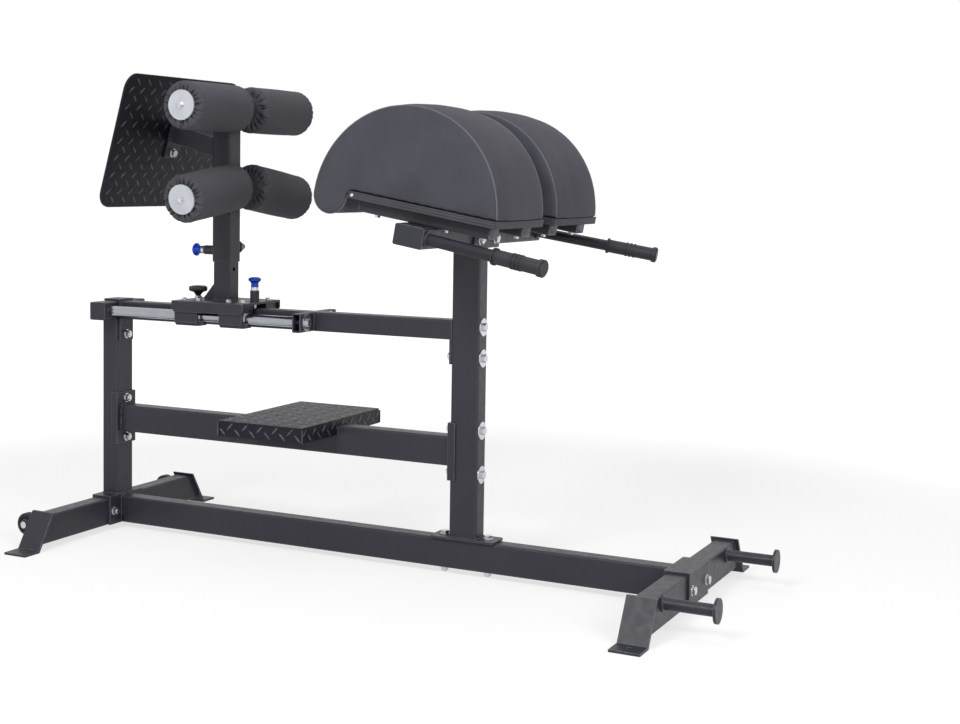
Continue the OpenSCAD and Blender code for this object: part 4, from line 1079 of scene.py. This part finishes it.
def step_tread():
    """Bars on the step's top, and two rows of them on each of its four edges."""
    bars = Pile()
    up = np.array([0.0, 0.0, 1.0])
    ahead = np.array([1.0, 0.0, 0.0])
    level = np.array([0.0, 1.0, 0.0])
    for a, b, slant in tread_places(STEP_HALF_WIDTH, STEP_HALF_LENGTH, STEP_TREAD_ACROSS, STEP_TREAD_ALONG,
                                    0.0, on_step):
        centre = np.array([STEP_X + b, a, STEP_TOP])
        along = unit(level * slant + ahead)
        tread_bar(bars, centre, along, np.cross(up, along), up)
    for slant, height, shift in ((1, UPPER_ROW, 0.0), (-1, LOWER_ROW, 0.5)):
        for side in (-1, 1):
            for i in range(-5, 6):
                place = (i + shift) * STEP_TREAD_ACROSS
                if on_step(place, 0.0):
                    centre = np.array([STEP_X + side * STEP_HALF_LENGTH, place, height])
                    along = unit(level * slant + up)
                    tread_bar(bars, centre, along, np.cross(ahead * side, along), ahead * side)
                place = (i + shift) * STEP_TREAD_ALONG
                if on_step(0.0, place):
                    centre = np.array([STEP_X + place, side * STEP_HALF_WIDTH, height])
                    along = unit(ahead * slant + up)
                    tread_bar(bars, centre, along, np.cross(level * side, along), level * side)
    bars.piece("step_tread", tread_bars, "frame")


foot_plate_tread()
step_tread()


# Hand knobs, turned with shallow flutes, from pairs of height and radius
KNOB_SIDES = 112
STUD_SIDES = 24
FLUTES = 7
FLUTE_DEPTH = 2.6
FLUTE_FADE = (0.45, 0.9)
BRAKE_PLACE = (-584.5, 0.0, 661.0)
BRAKE_RADIUS = 26.0
BRAKE_OUTLINE = (
    (8.4, 6.5), (10.0, 7.5), (14.0, 10.0), (18.0, 13.5), (20.0, 19.5), (21.2, 23.6), (23.0, 25.4),
    (26.0, 26.0), (31.0, 26.0), (33.2, 25.0), (34.6, 22.6), (35.6, 18.0), (36.2, 12.0), (36.5, 6.0),
    (36.6, 1.0),
)
BRAKE_STUD = ((-8.0, 5.7), (8.6, 5.7))
CLAMP_PLACE = (-493.5, 38.0, 804.0)
CLAMP_RADIUS = 23.4
CLAMP_OUTLINE = (
    (0.4, 10.0), (1.0, 21.0), (2.6, 23.2), (6.5, 23.4), (10.0, 22.4), (18.0, 18.8),
    (27.0, 14.8), (36.0, 11.0), (43.0, 8.8), (47.0, 7.0), (49.2, 4.2), (49.8, 0.8),
)
CLAMP_STUD = ((-9.8, 5.7), (0.8, 5.7))


def hand_knob(node, outline, stud, place, axis, full):
    """A knob on its stud, with flutes where it is near its full radius."""
    def fluted(radius, angles):
        share = smooth_step(radius / full, *FLUTE_FADE)
        return radius - FLUTE_DEPTH * share * (0.5 + 0.5 * np.cos(FLUTES * angles)) ** 2

    form = Pile()
    turned(form, outline, place, axis, KNOB_SIDES, fluted)
    turned(form, stud, place, axis, STUD_SIDES)
    knob = form.piece(node + "_moulded", black_plastic, node)
    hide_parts(node)


hand_knob("brake_knob", BRAKE_OUTLINE, BRAKE_STUD, BRAKE_PLACE, (0, 0, 1), BRAKE_RADIUS)
hand_knob("clamp_knob", CLAMP_OUTLINE, CLAMP_STUD, CLAMP_PLACE, (0, 1, 0), CLAMP_RADIUS)


# Weld beads where the tubes meet
BEAD_RADIUS = 2.0
BEAD_RIPPLE = 0.45
BEAD_PITCH = 1.4
RIPPLE_PITCH = 4.2
UPRIGHT_FEET = ((195.0, 270.0, 25.0), (-884.5, -834.5, 37.5))
UPRIGHT_CORNER = 5.0
UPRIGHT_FOOT_Z = 97.4
BEAM_SIDE = 25.4
ROD_TUBE_X = (-228.6, -202.4)
ROD_TUBE_Z = (596.0, 642.0)
HANDLE_ROOT = (38.0, 337.0)
HANDLE_SPLAY = math.radians(10.0)
PEG_ROOT = (824.0, 258.0, 70.0)
ROUND_BEAD = 14.6
STEP_BEAD_LOW = STEP_EDGE_LOW + 1.0
STEP_CORNER_HIGH = STEP_TOP - 5.0
LOWER_BEAM_TOP = 350.0
POST_X = (-518.7, -468.3)
POST_HALF = 25.2
POST_CORNER = 4.0
POST_FOOT_Z = 661.4


def bead(pile, line, closed=False):
    """A rippled bead of weld along a line."""
    path = even_path(line, BEAD_PITCH, closed)
    along = np.arange(len(path)) * BEAD_PITCH
    radii = BEAD_RADIUS + BEAD_RIPPLE * np.abs(np.sin(math.pi * along / RIPPLE_PITCH))
    pile.grid(tube_points(path, radii, 8, closed), round_rows=closed, round_columns=True, cap=not closed)


def rounded_ring(low_x, high_x, half_y, corner, level):
    """A closed line round an upright tube, with rounded corners."""
    front = high_x - corner
    rear = low_x + corner
    side = half_y - corner
    line = []
    for x, y, first in ((front, side, 0), (rear, side, 90), (rear, -side, 180), (front, -side, 270)):
        for turn in (0, 30, 60, 90):
            t = math.radians(first + turn)
            line.append((x + corner * math.cos(t), y + corner * math.sin(t), level))
    return np.array(line)


def ring_round(centre, axis, radius):
    side, other = across(axis)
    line = []
    for t in np.radians(np.arange(0, 360, 12)):
        line.append(np.asarray(centre) + radius * (math.cos(t) * side + math.sin(t) * other))
    return np.array(line)


def welds():
    beads = Pile()
    for low_x, high_x, half_y in UPRIGHT_FEET:
        bead(beads, rounded_ring(low_x, high_x, half_y, UPRIGHT_CORNER, UPRIGHT_FOOT_Z), True)
    root_u, root_y = HANDLE_ROOT
    peg_x, peg_y, peg_z = PEG_ROOT
    for side in (-1, 1):
        for x in ROD_TUBE_X:
            bead(beads, [(x, side * BEAM_SIDE, z) for z in ROD_TUBE_Z])
        root = on_tilt(root_u, side * root_y, 0.0)
        ahead_u = root_u + math.cos(HANDLE_SPLAY)
        ahead_y = root_y + math.sin(HANDLE_SPLAY)
        bead(beads, ring_round(root, on_tilt(ahead_u, side * ahead_y, 0.0) - root, ROUND_BEAD), True)
        bead(beads, ring_round((peg_x, side * peg_y, peg_z), (1, 0, 0), ROUND_BEAD), True)
        for end_x in (STEP_X - STEP_HALF_LENGTH, STEP_X + STEP_HALF_LENGTH):
            for y, high in ((side * STEP_HALF_WIDTH, STEP_CORNER_HIGH), (side * BEAM_SIDE, LOWER_BEAM_TOP)):
                bead(beads, [(end_x, y, STEP_BEAD_LOW), (end_x, y, high)])
    beads.piece("weld_beads", weld_coat, "frame")
    post = Pile()
    bead(post, rounded_ring(*POST_X, POST_HALF, POST_CORNER, POST_FOOT_Z), True)
    post.piece("post_weld", weld_coat, "carriage")


welds()


# Floor, light and background, in metres
FLOOR_REACH = 30.0
FLOOR_PALE = 0.86
FLOOR_GLOW = 1.15
FADE_FROM = (1.6, 3.2)
FADE_TO = (0.6, 1.0)
WORLD_LIGHT = 0.34


def background_rays(tree):
    """One where a ray comes from the camera, a mirror or glass, and zero elsewhere."""
    path = tree.nodes.new("ShaderNodeLightPath").outputs
    seen = maths(tree, "MAXIMUM", path["Is Camera Ray"], path["Is Transmission Ray"])
    return maths(tree, "MAXIMUM", seen, path["Is Glossy Ray"])


def floor_fade(tree):
    """The floor's share of plain white, which grows to one away from the part and its shadow."""
    place = tree.nodes.new("ShaderNodeTexCoord")
    length = tree.nodes.new("ShaderNodeVectorMath")
    length.operation = "LENGTH"
    tree.links.new(place.outputs["Object"], length.inputs[0])
    fade = tree.nodes.new("ShaderNodeMapRange")
    fade.interpolation_type = "SMOOTHSTEP"
    tree.links.new(length.outputs["Value"], fade.inputs["Value"])
    fade.inputs["From Min"].default_value = FADE_FROM[0]
    fade.inputs["From Max"].default_value = FADE_FROM[1]
    fade.inputs["To Min"].default_value = FADE_TO[0]
    fade.inputs["To Max"].default_value = FADE_TO[1]
    return fade.outputs["Result"]


def make_floor():
    mesh = bpy.data.meshes.new("floor")
    corners = ((-1, -1), (1, -1), (1, 1), (-1, 1))
    mesh.from_pydata([(x * FLOOR_REACH, y * FLOOR_REACH, 0) for x, y in corners], [], [(0, 1, 2, 3)])
    floor = bpy.data.objects.new("floor", mesh)
    scene.collection.objects.link(floor)
    made = bpy.data.materials.new("floor_white")
    made.use_nodes = True
    tree = made.node_tree
    matt = tree.nodes["Principled BSDF"]
    matt.inputs["Base Color"].default_value = (FLOOR_PALE, FLOOR_PALE, FLOOR_PALE, 1.0)
    matt.inputs["Roughness"].default_value = 1.0
    matt.inputs["Specular IOR Level"].default_value = 0.0
    glow = tree.nodes.new("ShaderNodeEmission")
    glow.inputs["Strength"].default_value = FLOOR_GLOW
    share = maths(tree, "MULTIPLY", background_rays(tree), floor_fade(tree))
    mix = tree.nodes.new("ShaderNodeMixShader")
    tree.links.new(share, mix.inputs["Fac"])
    tree.links.new(matt.outputs["BSDF"], mix.inputs[1])
    tree.links.new(glow.outputs["Emission"], mix.inputs[2])
    out = tree.nodes["Material Output"]
    tree.links.new(mix.outputs["Shader"], out.inputs["Surface"])
    mesh.materials.append(made)


def make_world():
    world = bpy.data.worlds.new("studio")
    world.use_nodes = True
    scene.world = world
    tree = world.node_tree
    sky = tree.nodes["Background"]
    sky.inputs["Color"].default_value = (1.0, 1.0, 1.0, 1.0)
    strength = tree.nodes.new("ShaderNodeMapRange")
    tree.links.new(background_rays(tree), strength.inputs["Value"])
    strength.inputs["To Min"].default_value = WORLD_LIGHT
    strength.inputs["To Max"].default_value = 1.0
    tree.links.new(strength.outputs["Result"], sky.inputs["Strength"])


def area_light(name, place, aim, size, power):
    lamp = bpy.data.lights.new(name, "AREA")
    lamp.shape = "DISK"
    lamp.size = size
    lamp.energy = power
    made = bpy.data.objects.new(name, lamp)
    made.location = place
    made.rotation_mode = "QUATERNION"
    made.rotation_quaternion = (Vector(aim) - Vector(place)).to_track_quat("-Z", "Y")
    scene.collection.objects.link(made)


make_floor()
make_world()
area_light("key", place=(-0.3, -4.2, 3.6), aim=(0.1, 0.0, 0.6), size=1.5, power=124.0)
area_light("side", place=(3.9, -2.3, 2.2), aim=(0.0, 0.0, 0.6), size=2.2, power=98.0)
area_light("top", place=(-0.3, 0.4, 4.2), aim=(0.0, 0.0, 0.6), size=3.0, power=25.0)
scene.view_settings.view_transform = "Standard"
